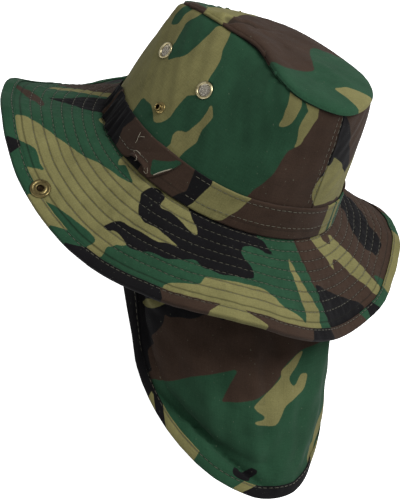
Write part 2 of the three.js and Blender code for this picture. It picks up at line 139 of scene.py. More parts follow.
# Print of the crown's wall, with one patch of painted shadow, in painting order: turn, and rise in
# hundredths of the wall
CROWN_PRINT_AND_SHADOW = [
    ("brown", [
        (168, 101), (168.5, 90), (169, 83), (168, 76.5), (167, 69), (166, 63.5), (163, 55.5),
        (160.5, 52), (159.5, 48), (159, 45), (158.5, 40.5), (157.5, 36), (156, 32),
        (154.5, 28.5), (152.5, 25), (151.5, 22), (149, 12), (148, -5), (190, -8), (237, -5),
        (235, 50), (235, 106), (200, 108)]),
    ("black", [
        (184.5, 104), (184.8, 92), (185.8, 77), (186.2, 66), (185.9, 58), (185.3, 52),
        (184.6, 46), (183.6, 40), (190, 38), (205, 38), (207.5, 42.5), (205.5, 51),
        (201.5, 59.5), (197.5, 71.5), (193, 82), (188.5, 94), (188, 104)]),
    ("khaki", [
        (30, 0), (55, -4), (79, 0), (80, 21), (80, 27.5), (83, 28.5), (87, 29), (89.5, 28),
        (92, 26.5), (93.5, 25), (95.5, 24.5), (98, 26.5), (100, 31), (100, 35.5), (100, 40.5),
        (100.5, 44.5), (102, 46), (104.5, 48), (106, 52), (104, 58), (103, 65), (101.5, 71.5),
        (98.5, 77.5), (96, 85.5), (93, 93), (90, 98), (85, 96), (83, 92), (84.5, 83), (85, 77),
        (85.5, 70.5), (85, 65), (84.5, 61), (82.5, 57.5), (80, 55.5), (77, 51.5), (75.5, 53),
        (72.5, 57.5), (71, 62.5), (69, 67.5), (67, 73), (65.5, 76.5), (66, 81), (67, 86),
        (66.5, 92), (64, 103), (57, 101), (58, 91), (58.5, 83), (60, 77), (60, 72), (55, 69),
        (51.5, 76), (51, 86), (50, 96), (50, 103), (30, 103), (24, 50)]),
    ("khaki", [
        (106, 8), (107.5, 18.5), (108, 21.5), (106.5, 25.5), (107.5, 28.5), (111, 30.5),
        (112, 33), (113, 37), (113.5, 40.5), (113.5, 45), (113, 47.5), (114, 48), (116.5, 45.5),
        (117.5, 43.5), (117, 39), (116.5, 36), (117, 32.5), (117.5, 29.5), (116, 24.5),
        (115, 20), (114, 8)]),
    ("khaki", [
        (148.5, 102), (149, 91), (150, 82), (150, 76), (150.5, 70), (150, 65.5), (150.5, 64),
        (153, 65), (156, 69), (157.5, 75.5), (158, 81), (158.5, 88.5), (157.5, 97), (156, 102)]),
    ("khaki", [
        (160.5, 102), (161.5, 92), (163, 87), (162.5, 82.5), (162, 77.5), (161.5, 73.5),
        (161.5, 68.5), (162.5, 63.5), (163, 59.5), (163, 55.5), (165.5, 59), (166, 63.5),
        (167, 68.5), (168, 76.5), (169, 83), (168.5, 90), (167.5, 102)]),
    ("khaki", [
        (188.5, 54), (192, 52.5), (198, 48.5), (201, 44.5), (205, 40.5), (208, 35), (209, 30),
        (210, 26), (208, 22.5), (205, 21.5), (199.5, 22.5), (195.5, 22), (189.5, 22),
        (187.5, 22), (185.5, 24), (183, 28.5), (182.5, 34), (183, 38), (184, 41), (185, 43),
        (185, 48), (187, 49), (188.5, 51)]),
    ("khaki", [
        (206, 40), (212, 44), (219, 49), (234, 52), (238, 30), (236, 14), (222, 18), (209, 22)]),
    # The last black patch is painted shadow on the wall under the band's lifted lower edge, not
    # print
    ("black", [(93, -8), (93, 4), (97, 8), (104, 7), (108, 3), (108, -8)])]

# Print of the tip: turn, and share of the way out from its middle in hundredths
TIP_PRINT = [
    ("khaki", [
        (66, 112), (64, 99), (60, 90), (45, 82), (23, 79), (10, 86), (358, 96), (353, 102),
        (349, 112), (330, 112), (325, 106), (325, 90), (350, 50), (20, 40), (80, 80), (90, 104),
        (86, 112)]),
    ("brown", [
        (86, 112), (84.5, 101), (83.5, 95), (76, 80), (59, 60.5), (35, 55), (18, 57), (358, 69),
        (345, 82), (335, 97), (329, 112), (300, 112), (270, 112), (272, 78), (272, 70), (274, 62),
        (275, 52), (268, 40), (240, 29.5), (210, 32), (200, 36), (191, 42), (185, 43.5),
        (179, 44.5), (161, 51), (150, 60), (138, 80), (130, 92), (126, 100), (125, 112),
        (105, 112)]),
    ("khaki", [
        (193, 70.5), (200, 72), (207, 75.5), (214, 87.5), (219, 100), (221, 112), (199, 112),
        (198, 100), (196, 91.5), (195, 81.5)]),
    ("brown", [
        (66, 112), (66, 100), (63, 95), (58, 93.5), (50, 91), (43, 88), (40, 93), (44, 99),
        (46, 112)])]

# Print of the brim: turn, and distance out from the head opening
BRIM_PRINT = [
    ("khaki", [
        (68.5, 66.5), (68.6, 60), (70, 54.5), (71.3, 50), (73.2, 45.5), (75.5, 41), (78, 37),
        (80.3, 33), (82.8, 29.3), (85.5, 25.8), (88, 22.3), (90.5, 19), (93.5, 16.6), (97, 14.7),
        (100.5, 13.2), (104, 11.3), (105.6, 9.2), (102.5, 6.6), (99, 4.5), (97, 4),
        (95.5, 7.5), (94, 6), (93, 3), (94, -3), (112, -4), (131, -3), (139, 17),
        (135, 32), (120.5, 49.5), (118.5, 51.5), (117.5, 55), (116.5, 58),
        (117, 62.5), (117, 66.5), (114, 68), (112, 67), (112.5, 63), (112.5, 59), (111, 57.5),
        (108, 57), (104.5, 58), (101.5, 59.5), (99.5, 61), (97.5, 62.5), (95.5, 65.5),
        (94, 67.5), (92, 69), (88, 69), (84, 68), (84.5, 64.5), (85, 61.5), (86, 58.5),
        (86, 56), (84, 57), (81.5, 56.5), (79.5, 57.5), (78, 61.5), (76, 67.5), (72.5, 67)]),
    ("khaki", [(64, 3), (66, 5.5), (69, 3), (69.5, 0.5), (66, 0)]),
    ("khaki", [
        (136.5, 64.5), (138, 60.5), (140, 58.5), (141.5, 57.5), (143.5, 56), (145, 54),
        (145.5, 50.5), (146, 47.5), (147.5, 47), (151, 46.5), (154.5, 45.5), (157.5, 45),
        (160, 45), (163, 45.5), (166, 48), (168, 51), (169, 53), (171.5, 56), (174.5, 58),
        (176.5, 61), (178.5, 65.5), (178, 70), (150, 70), (138, 69)]),
    ("khaki", [
        (176.5, 16), (177.5, 18.5), (178.5, 24), (180, 30), (181.5, 36.5), (183, 43),
        (184, 47.5), (185.5, 55), (184.5, 60), (184, 70), (178, 70), (179, 57.5), (178.5, 51),
        (178, 44.5), (177.5, 37.5), (177, 31), (176.5, 25.5), (176, 20.5)]),
    ("brown", [
        (182, -4), (182, 1), (182.5, 8.5), (183.5, 17), (184.5, 22.5), (186, 29), (186.5, 35),
        (189, 42), (196, 52), (206, 66), (214, 78), (235, 80), (262, 76), (266, 40), (262, -4),
        (220, -6)]),
    ("brown", [(48, 69), (50, 62), (52, 54), (55, 47.5), (60, 45), (61, 47), (57, 54), (53, 62),
               (50, 69)]),
    ("khaki", [
        (193, 1), (197, 1), (201, 1.5), (201.5, 5.5), (203.5, 8.5), (206.5, 11.5), (207, 10.5),
        (207.5, 8), (206, 5), (209.5, 6), (210.5, 8.5), (214, 18), (216.5, 26), (218.5, 35.5),
        (220.5, 45.5), (221.5, 55.5), (222.5, 66), (218.5, 67), (216.5, 57), (214.5, 49),
        (212, 41), (209.5, 32), (207.5, 26.5), (205.5, 23), (203.5, 23), (203, 26),
        (202.5, 30.5), (203.5, 32), (201.5, 27), (200, 20), (197, 12.5), (195, 8), (193.5, 4)]),
    ("black", [
        (113, 2.5), (112, 5.5), (111.5, 11), (113, 15), (114.5, 20), (116.5, 24.5), (118, 25.5),
        (120, 27), (122.5, 26.5), (125, 26), (128, 27.5), (131.5, 29.5), (134.5, 32),
        (131, 33), (128.5, 35), (126, 35.5), (123.5, 35), (120.5, 35), (117, 36), (114.5, 36.5),
        (112.5, 39), (111.5, 43.5), (111, 47.5), (113, 47.5), (114.5, 45), (116.5, 45),
        (118.5, 46), (120, 47.5), (121, 49), (123, 49), (125.5, 47.5), (128, 45), (130.5, 44.5),
        (133.5, 44.5), (136, 41.5), (139, 38.5), (141.5, 37), (143, 39), (145, 41),
        (146.5, 40.5), (149.5, 42.5), (154.5, 40.5), (158, 39.5), (160, 38), (160, 33),
        (159, 28.5), (157, 24.5), (155.5, 19.5), (156, 14.5), (158.5, 12), (160, 11.5),
        (163.5, 12.5), (166.5, 14.5), (170, 14.5), (168, 12), (165, 5), (162.5, 3), (160, -3),
        (145, -4), (131, -3), (130.5, 1), (132, 3), (134, 7), (137, 11.5), (138.5, 16.5),
        (137.5, 18), (136.5, 17.5), (132, 14), (128.5, 11.5), (125, 10.5), (122, 11.5),
        (120.5, 10.5), (120, 7.5), (120, 4), (118.5, 2), (116, 1)]),
    ("black", [
        (187.5, 35.5), (189, 36), (193.5, 40.5), (197, 44.5), (201, 49), (207, 57), (209.5, 61),
        (211, 66.5), (207.5, 67.5), (202, 68), (197.5, 67.5), (190.5, 67.5), (189, 62),
        (189, 57.5), (188, 49.5), (188, 44), (187.5, 39.5)]),
    ("black", [
        (242, 6), (247, 10), (253, 20), (252.5, 27), (250, 31.5), (247, 36), (242.5, 40.5),
        (241.5, 45.5), (240.5, 52), (238.5, 56.5), (235, 55), (232, 52.5), (232, 48), (230, 42),
        (229.5, 33.5), (230, 26.5), (232, 19.5), (236.5, 14.5), (239, 9.5)]),
    ("green", [(223, 57), (225, 60), (227, 68), (223, 68)]),
    ("green", [(222, -2), (232, 5), (238, 4), (240, -2), (230, -4)]),
    ("brown", [(0, -4), (20, -4), (36, -3), (36, 20), (34, 40), (30, 52), (15, 48), (0, 54),
               (340, 40), (335, 10)]),
    ("khaki", [(43.5, 47), (42, 38), (41.3, 30), (41, 18), (41.5, 8), (42, -3), (37, -3),
               (36.5, 8), (36, 20), (36, 32), (38, 42)]),
    ("black", [(53.4, 43), (52, 36), (50.5, 28.8), (47.5, 23), (45.2, 17), (44.4, 5), (42, -4),
               (57, -4), (59, 4), (58.8, 13.4), (57.2, 21.5), (54.8, 31)])]

# Print of the band, with painted highlights on its front pleats: turn, and height above the brim
BAND_PRINT_AND_HIGHLIGHTS = [
    ("brown", [(83, -3), (83, 12), (82, 28), (105, 29), (127, 28), (127, 12), (127, -3)]),
    ("green", [(106.6, 11.4), (108.7, 14.2), (113.5, 19), (115.8, 22.3), (118, 22.5), (116.4, 16),
               (114, 12), (112, 8), (111, 5.3), (109.6, 3.7), (107.8, 6.9)]),
    ("black", [(122.5, -3), (123.3, 2.5), (124.6, 5.5), (126, 9), (125.6, 14), (124.8, 22),
               (124.6, 28), (137, 28), (135, 20.7), (134, 13), (132, 5), (131, -3)]),
    ("black", [(40, -4), (40, 28), (82, 28), (83, 12), (83, -4)]),
    # The two narrow brown streaks on the black front are painted highlights along the pleats'
    # ridges, not print
    ("brown", [(47, -4), (48.5, 8), (48, 22), (49.5, 28), (52, 28), (50.5, 20), (51, 8),
               (49.5, -4)]),
    ("brown", [(60, -4), (61.5, 8), (61, 20), (62.5, 28), (64, 28), (62.8, 18), (63, 8),
               (61.5, -4)]),
    ("khaki", [(131, -3), (131.1, 4.9), (132.3, 13), (133.8, 20.7), (135.3, 28), (156.5, 28),
               (153.5, 12), (151, -3)]),
    ("brown", [(143.5, -3), (145.2, 2), (147.3, 7.7), (149.4, 12.5), (151.1, 18.3), (152.9, 24),
               (154, 28), (199.5, 28), (198.5, 12), (198, -3)]),
    ("khaki", [(198, -3), (198.5, 12), (199.5, 28), (206, 28), (205, 12), (204, -3)]),
    ("khaki", [(208, -3), (208, 12), (208, 28), (211, 28), (211, 12), (211, -3)]),
    ("brown", [(222, -3), (222, 12), (222, 28), (250, 28), (250, 12), (250, -3)])]

# Print of the flap, with painted shadow under the brim: turn, and drop
FLAP_PRINT_AND_SHADOW = [
    ("brown", [
        (88, -10), (92, 40), (100, 90), (109, 134), (115, 134), (119, 132), (125, 126),
        (130.5, 119.4), (136, 112.5), (142, 107.3), (149.2, 102), (156.8, 96.4), (154.4, 106.9),
        (150.8, 119.8), (150.2, 123), (156, 120), (162, 116.5), (170, 111), (176.5, 104.8),
        (180.8, 97.1), (180.8, 93.7), (184.5, 88), (189.6, 83.3), (194.4, 80.5), (203, 78),
        (214, 76), (222, 40), (222, -10), (160, -14)]),
    # This black is partly print and partly painted shadow from the brim along the flap's top
    ("black", [
        (88, -10), (160, -10), (152, 58), (145.6, 63.5), (141.2, 64.5), (137.2, 70), (133.2, 74),
        (128.8, 76.5), (124, 80.5), (121.6, 81), (120.8, 88), (117.2, 97.5), (112.8, 106.3),
        (115.2, 108.2), (112.5, 113), (110.8, 118), (112, 125.5), (112.5, 131), (100, 136),
        (92, 80)]),
    ("khaki", [
        (194.4, 81.9), (189.6, 84), (184.4, 89.5), (180.8, 93.7), (181.2, 98.5), (177.6, 104.1),
        (172, 110.3), (166, 118.1), (166, 121.5), (171.6, 126.2), (171.2, 129), (166.4, 130.6),
        (167.2, 132.7), (177.2, 133.1), (181.2, 126.9), (184, 119.3), (189.6, 113.8),
        (195.6, 109.5), (197.6, 101), (196, 98.4), (192.8, 98.5), (189.6, 104.8), (187.2, 104.1),
        (186, 97.8), (190.8, 90.2)]),
    ("black", [
        (154.8, 171), (156.5, 167.5), (159, 167), (161.3, 169.2), (163.5, 168), (166, 166.3),
        (169, 168.3), (166, 171.5), (163, 174), (158, 173.5)]),
    ("khaki", [
        (107.2, 86.5), (111.6, 79.7), (119.2, 71.1), (123.6, 68.5), (120.4, 75.5),
        (115.2, 82.9), (108.4, 88.8)]),
    ("khaki", [
        (212, 174), (210, 167), (217, 163.5), (221.5, 159), (226, 158.5), (236, 160), (238, 172),
        (226, 184), (217, 180)])]

# Print of the two bindings: the turn where each colour starts, at the edge and at the stitches
BRIM_BINDING_PRINT = [
    (45, 45, "green"), (75.6, 77, "black"), (80, 78.8, "green"), (91.4, 93.5, "khaki"),
    (101, 104.6, "green"), (107, 112, "black"), (137.5, 135.7, "brown"), (148.9, 151, "khaki"),
    (163.5, 157.5, "brown"), (179.5, 180.3, "black"), (189.3, 188.5, "brown"),
    (209, 207, "green"), (211.4, 211.2, "black"), (216.4, 214.5, "green"),
    (223.8, 223.3, "khaki"), (246.5, 247, "green"), (256, 256, "brown"), (281, 280, "black"),
    (296, 297, "khaki"), (310, 312, "green"), (333, 331, "brown"), (352, 353, "green"),
    (397, 397, "green")]
FLAP_BINDING_PRINT = [
    (80, 80, "black"), (112.8, 114.6, "khaki"), (116.4, 114.6, "black"), (121.4, 120, "khaki"),
    (134.9, 137.3, "green"), (154.5, 160.5, "khaki"), (159.5, 167.4, "black"),
    (215.5, 215.5, "khaki"), (227, 225.5, "green"), (251, 252, "brown"), (264, 262, "black")]

# The dyes, as levels of red, green and blue. The cloth's ground is green.
COLOURS = ("khaki", "brown", "black")
DYES = {
    "green": (33, 64, 45), "khaki": (110, 106, 68), "brown": (54, 41, 33), "black": (14, 13, 15)}


def around(rows, turn):
    place = np.mod(np.asarray(turn, float), 360.0) / (360.0 / len(rows))
    row = np.floor(place).astype(int)
    t = (place - row)[..., None]
    before, start, end, after = (rows[(row + step) % len(rows)] for step in (-1, 0, 1, 2))
    slope_in, slope_out = (end - before) / 2, (after - start) / 2
    return (start + (end - start) * t * t * (3 - 2 * t)
            + slope_in * t * (1 - t) ** 2 - slope_out * t * t * (1 - t))


def eased(value, low, high):
    t = np.clip((np.asarray(value, float) - low) / (high - low), 0, 1)
    return t * t * (3 - 2 * t)


# A smooth rise of 1 about nought that is nearly gone at twice its width
def hump(off, width):
    return np.exp(-(off / width) ** 2)


def unit(vectors):
    return vectors / np.linalg.norm(vectors, axis=-1, keepdims=True)


def round_turns(count):
    return np.arange(count) * 360.0 / count


def on_circle(turn, radius):
    return radius * np.sin(np.radians(turn)), radius * np.cos(np.radians(turn))


def head_outward(turn):
    angle = np.radians(turn)
    return unit(np.stack([np.sin(angle) / HEAD_HALF_WIDTH, -np.cos(angle) / HEAD_HALF_LENGTH,
                          np.zeros_like(angle)], -1))


def head_point(turn):
    angle = np.radians(turn)
    oval = np.stack([HEAD_HALF_WIDTH * np.sin(angle), -HEAD_HALF_LENGTH * np.cos(angle),
                     np.zeros_like(angle)], -1)
    return oval - head_outward(turn) * around(FOOT_SHAPE, turn)[..., :1]


# Smooth seeded unevenness of about unit size, made of waves about `size` long
def unevenness(x, y, size, seed, stretch=1.0):
    draw = np.random.default_rng(seed)
    total = np.zeros(np.broadcast(x, y).shape)
    count = 22
    for _ in range(count):
        heading, phase = draw.uniform(0, math.tau, 2)
        pace = math.tau / size * draw.uniform(0.6, 1.5)
        total += np.cos(pace * (x * math.cos(heading) / stretch + y * math.sin(heading)) + phase)
    return total / math.sqrt(count / 2)


def crown_face(turn, rise):
    foot = head_point(turn)
    seam_row = around(TIP_SEAM, turn)
    seam = seam_row[..., :3]
    shoulder = seam + head_outward(turn) * seam_row[..., 3:4] - SHOULDER_DROP * UP
    handle = foot + (shoulder - foot) * LOWER_HANDLE
    t = np.asarray(rise, float)[..., None]
    return (foot * (1 - t) ** 3 + handle * 3 * t * (1 - t) ** 2
            + shoulder * 3 * t * t * (1 - t) + seam * t ** 3)


TIP_CENTRE = around(TIP_SEAM, round_turns(54))[:, :3].mean(0)


def tip_face(turn, ring):
    near = np.mod(np.asarray(turn, float) + 60, 360)
    plump = (eased(near, 30, 90) * (1 - eased(near, 265, 310)))[..., None]
    rim = around(TIP_SEAM, turn)[..., :3] + head_outward(turn) * (TIP_LIP + 0.4 * plump)
    ring = np.asarray(ring, float)[..., None]
    rounded = np.sqrt(np.maximum(1 - ring ** 5, 0))
    puff = TIP_PUFF * (1 - ring ** 3) * (1 - plump) + (TIP_PUFF + 2 * ring ** 2) * rounded * plump
    return TIP_CENTRE + (rim - TIP_CENTRE) * ring + (GAP + CROWN_CLOTH + puff) * UP


def rise_at_height(turn, height):
    low, high = np.zeros_like(turn), np.ones_like(turn)
    for _ in range(16):
        middle = (low + high) / 2
        under = crown_face(turn, middle)[..., 2] < height
        low, high = np.where(under, middle, low), np.where(under, high, middle)
    return (low + high) / 2


def band_face(turn, share):
    return crown_face(turn, rise_at_height(turn, GAP + share * BAND_HEIGHT))


def brim_face(turn, distance, below=0.0):
    shape = around(FOOT_SHAPE, turn)
    droop = np.radians(shape[..., 1:2])
    distance = np.asarray(distance, float)[..., None]
    below = np.asarray(below, float)[..., None]
    bend = np.clip(distance / BRIM_BEND + 0.5, 0, 1)
    pressed = shape[..., :1] * np.maximum(0, distance / BRIM_EDGE)
    level = pressed + np.where(distance > 0, distance * np.cos(droop), distance)
    level = level - below * np.sin(droop * bend)
    fall = np.where(distance > 0, distance * np.sin(droop), 0) + below * np.cos(droop * bend)
    return head_point(turn) + head_outward(turn) * level - (GAP + fall) * UP


def flap_drop(turn):
    drop = np.interp(np.abs(np.asarray(turn, float) - 180), FLAP_SHAPE[:, 0], FLAP_SHAPE[:, 1])
    return drop - np.interp(turn, FLAP_TRIM[:, 0], FLAP_TRIM[:, 1])


def square_to_hem(turn):
    step = 2
    run = np.linalg.norm(head_point(turn + step) - head_point(turn - step), axis=-1)
    fall = flap_drop(turn + step) - flap_drop(turn - step)
    return run / np.hypot(run, fall)


def hem_share(turn, distance):
    return distance / (flap_drop(turn) * square_to_hem(turn))


def flap_face(turn, share):
    drop = flap_drop(turn)
    in_from_hem = drop * (1 - share) * square_to_hem(turn)
    strength = 1 - eased(turn, 170, 210)
    out = (np.interp(in_from_hem, HEM_ROLL[:, 0], HEM_ROLL[:, 1])
           * strength * np.minimum(1, share * 2))
    level = head_outward(turn)
    point = head_point(turn) - level * FLAP_INSET
    point[..., 2] = -(GAP + BRIM_CLOTH + GAP)
    point = point + FLAP_HANG * (drop * share)[..., None] + level * out[..., None]
    point[..., 0] *= 1 - FLAP_TAPER * (drop * share / FLAP_LENGTH) ** 4
    return point


# To find the way out from a panel: a small step along it, and the sign of its outer side
STEPS = {crown_face: (0.004, 1), band_face: (0.02, 1), brim_face: (0.4, -1), flap_face: (0.004, -1)}


def outward_from(face, turn, along):
    step, side = STEPS[face]
    across = face(turn + 0.5, along) - face(turn - 0.5, along)
    up = face(turn, along + step) - face(turn, along - step)
    return unit(np.cross(across, up)) * side


def grid(turns, alongs):
    return np.meshgrid(np.asarray(turns, float), np.asarray(alongs, float), indexing="ij")


# Turns once round the hat, closer together where the cloth has more in it: start, and how many
def stepped_turns(stretches):
    ends = [start for start, _ in stretches[1:]] + [360]
    return np.concatenate([start + (end - start) * np.arange(count) / count
                           for (start, count), end in zip(stretches, ends)])


# Flat places on each panel, where the print is laid out
def crown_flat(turn, rise):
    return CROWN_RUN * turn, CROWN_CLIMB * rise


def tip_flat(turn, ring):
    middle = TIP_CENTRE[:2]
    rim = around(TIP_SEAM, turn)[..., :2]
    place = middle + (rim - middle) * np.asarray(ring, float)[..., None]
    return place[..., 0], place[..., 1]


def brim_flat(turn, distance):
    angle = np.radians(turn)
    return (BRIM_RADIUS + distance) * np.sin(angle), -(BRIM_RADIUS + distance) * np.cos(angle)


def band_flat(turn, height):
    return CROWN_RUN * turn, height


def flap_flat(turn, drop):
    return FLAP_RUN * turn, -drop


def smooth_outline(corners, steps=4):
    points = np.asarray(corners, float)
    t = (np.arange(steps) / steps)[:, None]
    neighbours = (np.roll(points, shift, 0) for shift in (1, 0, -1, -2))
    return np.concatenate([
        here + (there - here) * t * t * (3 - 2 * t) + (there - back) / 2 * t * (1 - t) ** 2
        - (on - here) / 2 * t * t * (1 - t)
        for back, here, there, on in zip(*neighbours)])


def depth_inside(outline, x, y):
    nearest = np.full(x.shape, np.inf)
    inside = np.zeros(x.shape, bool)
    for (ax, ay), (bx, by) in zip(outline, np.roll(outline, -1, 0)):
        dx, dy = bx - ax, by - ay
        t = np.clip(((x - ax) * dx + (y - ay) * dy) / (dx * dx + dy * dy + 1e-12), 0, 1)
        nearest = np.minimum(nearest, (x - ax - t * dx) ** 2 + (y - ay - t * dy) ** 2)
        if ay != by:
            inside ^= ((ay > y) != (by > y)) & (x < ax + (y - ay) * dx / dy)
    return np.where(inside, 1, -1) * np.sqrt(nearest)


# How deep each place lies inside each colour, in millimetres, with later shapes on top
def layered(depths, shape):
    fields = {colour: np.full(shape, -NO_COLOUR) for colour in COLOURS}
    for colour, depth in depths:
        for other in COLOURS:
            if other == colour:
                fields[other] = np.maximum(fields[other], depth)
            else:
                fields[other] = np.minimum(fields[other], -depth)
    return fields


def charted(shapes, flat, x, y, scale=1.0):
    depths = []
    for colour, corners in shapes:
        turn, along = np.asarray(corners, float).T
        outline = smooth_outline(np.stack(flat(turn, along * scale), -1))
        low, high = outline.min(0) - NO_COLOUR, outline.max(0) + NO_COLOUR
        near = (x > low[0]) & (x < high[0]) & (y > low[1]) & (y < high[1])
        depth = np.full(x.shape, -NO_COLOUR)
        depth[near] = depth_inside(outline, x[near], y[near])
        depths.append((colour, depth))
    return layered(depths, x.shape)


def blotched(x, y, seed):
    depths = []
    for step, (colour, level, size) in enumerate((
            ("brown", 0.25, 95), ("khaki", 0.75, 70), ("black", 0.95, 60))):
        shape = (unevenness(x, y, size, seed + step, 1.8)
                 + 0.28 * unevenness(x, y, size / 3.2, seed + 20 + step, 1.5))
        depths.append((colour, (shape - level) * size * 0.2))
    return layered(depths, x.shape)


def mixed(fields, others, share):
    return {colour: fields[colour] * (1 - share) + others[colour] * share for colour in COLOURS}


# Turns counted on past the front, and the share of blotches on the side that doesn't show
def past_front(turn):
    return np.where(turn < 135, turn + 360, turn)


def unseen(turn, coming, going):
    return eased(past_front(turn), *coming) * (1 - eased(past_front(turn), *going))


def striped(stripes, turn, inward, per_degree):
    starts = [edge + (inner - edge) * inward for edge, inner, _ in stripes]
    turn = np.where(turn < starts[0], turn + 360, turn)
    depths = [(colour, np.minimum(turn - start, end - turn) * per_degree)
              for (_, _, colour), start, end in zip(stripes, starts, starts[1:] + [starts[0] + 360])
              if colour != "green"]
    return layered(depths, turn.shape)


def in_scene(name, data):
    made = bpy.data.objects.new(name, data)
    bpy.context.scene.collection.objects.link(made)
    return made


def new_piece(name, points, faces, replaced=()):
    mesh = bpy.data.meshes.new(name)
    mesh.from_pydata((np.asarray(points).reshape(-1, 3) * MM).tolist(), [], faces)
    piece = in_scene(name, mesh)
    mesh.polygons.foreach_set("use_smooth", np.ones(len(mesh.polygons), bool))
    settle(piece, replaced)
    return piece


def settle(piece, replaced=()):
    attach(piece, "root")
    if replaced:
        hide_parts(*replaced)


def grid_faces(columns, rows, closed, flipped):
    i, j = np.meshgrid(np.arange(columns if closed else columns - 1), np.arange(rows - 1),
                       indexing="ij")
    here, beside = i * rows + j, ((i + 1) % columns) * rows + j
    corners = [here, beside, beside + 1, here + 1]
    if flipped:
        corners.reverse()
    return np.stack([c.ravel() for c in corners], -1)


def select_only(piece):
    bpy.ops.object.select_all(action="DESELECT")
    piece.select_set(True)
    bpy.context.view_layer.objects.active = piece


def apply_modifiers(piece):
    select_only(piece)
    for modifier in list(piece.modifiers):
        bpy.ops.object.modifier_apply(modifier=modifier.name)


def mark(piece, name, values):
    attribute = piece.data.attributes.new(name, "FLOAT", "POINT")
    attribute.data.foreach_set("value", np.asarray(values, np.float32).ravel())


# Lays the cloth's own map, in metres, so that the weave follows the panel
def lay_weave(piece, flat_x, flat_y, wrap):
    corner_points = np.zeros(len(piece.data.loops), np.int32)
    piece.data.loops.foreach_get("vertex_index", corner_points)
    x = flat_x.ravel()[corner_points].reshape(-1, 4)
    if wrap:
        x = np.where(x.max(1, keepdims=True) - x > wrap / 2, x + wrap, x)
    uv = np.stack([x.ravel(), flat_y.ravel()[corner_points]], -1) * MM
    layer = piece.data.uv_layers.new(name="weave")
    layer.data.foreach_set("uv", uv.astype(np.float32).ravel())


# A piece with its print, how far each place is from a stitched line or crease, which sets its
# painted shade, and its weave
def printed_piece(name, points, faces, replaced, fields, seams, flat, wrap):
    piece = new_piece(name, points, faces, replaced)
    for colour in COLOURS:
        mark(piece, colour, fields[colour])
    mark(piece, "seam", seams)
    lay_weave(piece, *flat, wrap)
    return piece


# One cloth, laid out on a grid of points and given its thickness
def cloth_sheet(name, points, closed, flipped, cloth, replaced, fields, seams, flat,
                wrap=0.0, kept=None):
    faces = grid_faces(*points.shape[:2], closed, flipped)
    if kept is not None:
        faces = faces[kept.ravel()[faces].all(-1)]
    piece = printed_piece(
        name, points, faces.tolist(), replaced, fields, seams, flat, wrap)
    shell = bmesh.new()
    shell.from_mesh(piece.data)
    bmesh.ops.remove_doubles(shell, verts=shell.verts, dist=0.0001 * MM)
    loose = [v for v in shell.verts if not v.link_faces]
    bmesh.ops.delete(shell, geom=loose, context="VERTS")
    shell.to_mesh(piece.data)
    shell.free()
    wall = piece.modifiers.new("cloth", "SOLIDIFY")
    wall.thickness = cloth * MM
    wall.offset = -1
    apply_modifiers(piece)
    return piece


# A closed section carried round the hat, shut at its ends where it doesn't meet itself
def swept(name, sections, closed, replaced, fields, seams, flat, wrap=0.0):
    columns, size = sections.shape[:2]
    i, j = np.meshgrid(np.arange(columns if closed else columns - 1), np.arange(size),
                       indexing="ij")
    here, beside, k = i * size, ((i + 1) % columns) * size, (j + 1) % size
    corners = (here + j, here + k, beside + k, beside + j)
    faces = np.stack([c.ravel() for c in corners], -1).tolist()
    if not closed:
        for start, last in ((0, False), ((columns - 1) * size, True)):
            for j in range(size // 2 - 1):
                quad = [start + j, start + j + 1, start + size - 2 - j, start + size - 1 - j]
                faces.append(quad if last else quad[::-1])
    piece = printed_piece(name, sections, faces, replaced, fields, seams, flat, wrap)
    shell = bmesh.new()
    shell.from_mesh(piece.data)
    bmesh.ops.recalc_face_normals(shell, faces=shell.faces)
    shell.to_mesh(piece.data)
    shell.free()
    return piece


# A socket in a material's nodes. Arithmetic on it adds Math nodes.
class Wire:
    def __init__(self, tree, socket=None):
        self.tree = tree
        self.socket = socket

    def node(self, kind, settings=(), inputs=(), output=0):
        made = self.tree.nodes.new(kind)
        for name, value in dict(settings).items():
            setattr(made, name, value)
        for name, value in dict(inputs).items():
            if isinstance(value, Wire):
                self.tree.links.new(value.socket, made.inputs[name])
            else:
                made.inputs[name].default_value = value
        return Wire(self.tree, made.outputs[output])

    def math(self, operation, *values):
        return self.node("ShaderNodeMath", {"operation": operation}, dict(enumerate(values)))

    def __add__(self, other):
        return self.math("ADD", self, other)

    __radd__ = __add__

    def __sub__(self, other):
        return self.math("SUBTRACT", self, other)

    def __rsub__(self, other):
        return self.math("SUBTRACT", other, self)

    def __mul__(self, other):
        return self.math("MULTIPLY", self, other)

    __rmul__ = __mul__

    def __truediv__(self, other):
        return self.math("DIVIDE", self, other)

    def __abs__(self):
        return self.math("ABSOLUTE", self)

    def clamped(self):
        return self.node("ShaderNodeClamp", (), {0: self})

    def sine(self):
        return self.math("SINE", self)

    def mix(self, first, second):
        return self.node("ShaderNodeMix", {"data_type": "RGBA", "clamp_factor": True},
                         {0: self, 6: first, 7: second}, 2)

    def noise(self, scale, detail=2.0, roughness=0.5):
        return self.node("ShaderNodeTexNoise", (), {
            "Vector": self, "Scale": scale, "Detail": detail, "Roughness": roughness})

    def mapped(self, scale, rotation=(0, 0, 0)):
        return self.node("ShaderNodeMapping", (), {
            "Vector": self, "Scale": scale, "Rotation": rotation})

    def bump(self, strength, distance):
        return self.node("ShaderNodeBump", (), {
            "Strength": strength, "Distance": distance, "Height": self})


def linear(colour):
    levels = [c / 255 for c in colour]
    return [c / 12.92 if c <= 0.04045 else ((c + 0.055) / 1.055) ** 2.4 for c in levels] + [1]


def new_material(name, **shader_values):
    material = bpy.data.materials.new(name)
    material.use_nodes = True
    tree = material.node_tree
    shader = tree.nodes["Principled BSDF"]
    for socket, value in shader_values.items():
        shader.inputs[socket.replace("_", " ")].default_value = value
    return material, tree, shader


def feed(shader, **wires):
    for socket, wire in wires.items():
        wire.tree.links.new(wire.socket, shader.inputs[socket.replace("_", " ")])


TWILL_PITCH = 0.85
# Width of the painted shade along each stitched line, join and crease
SEAM_SHADE_WIDTH = 0.95


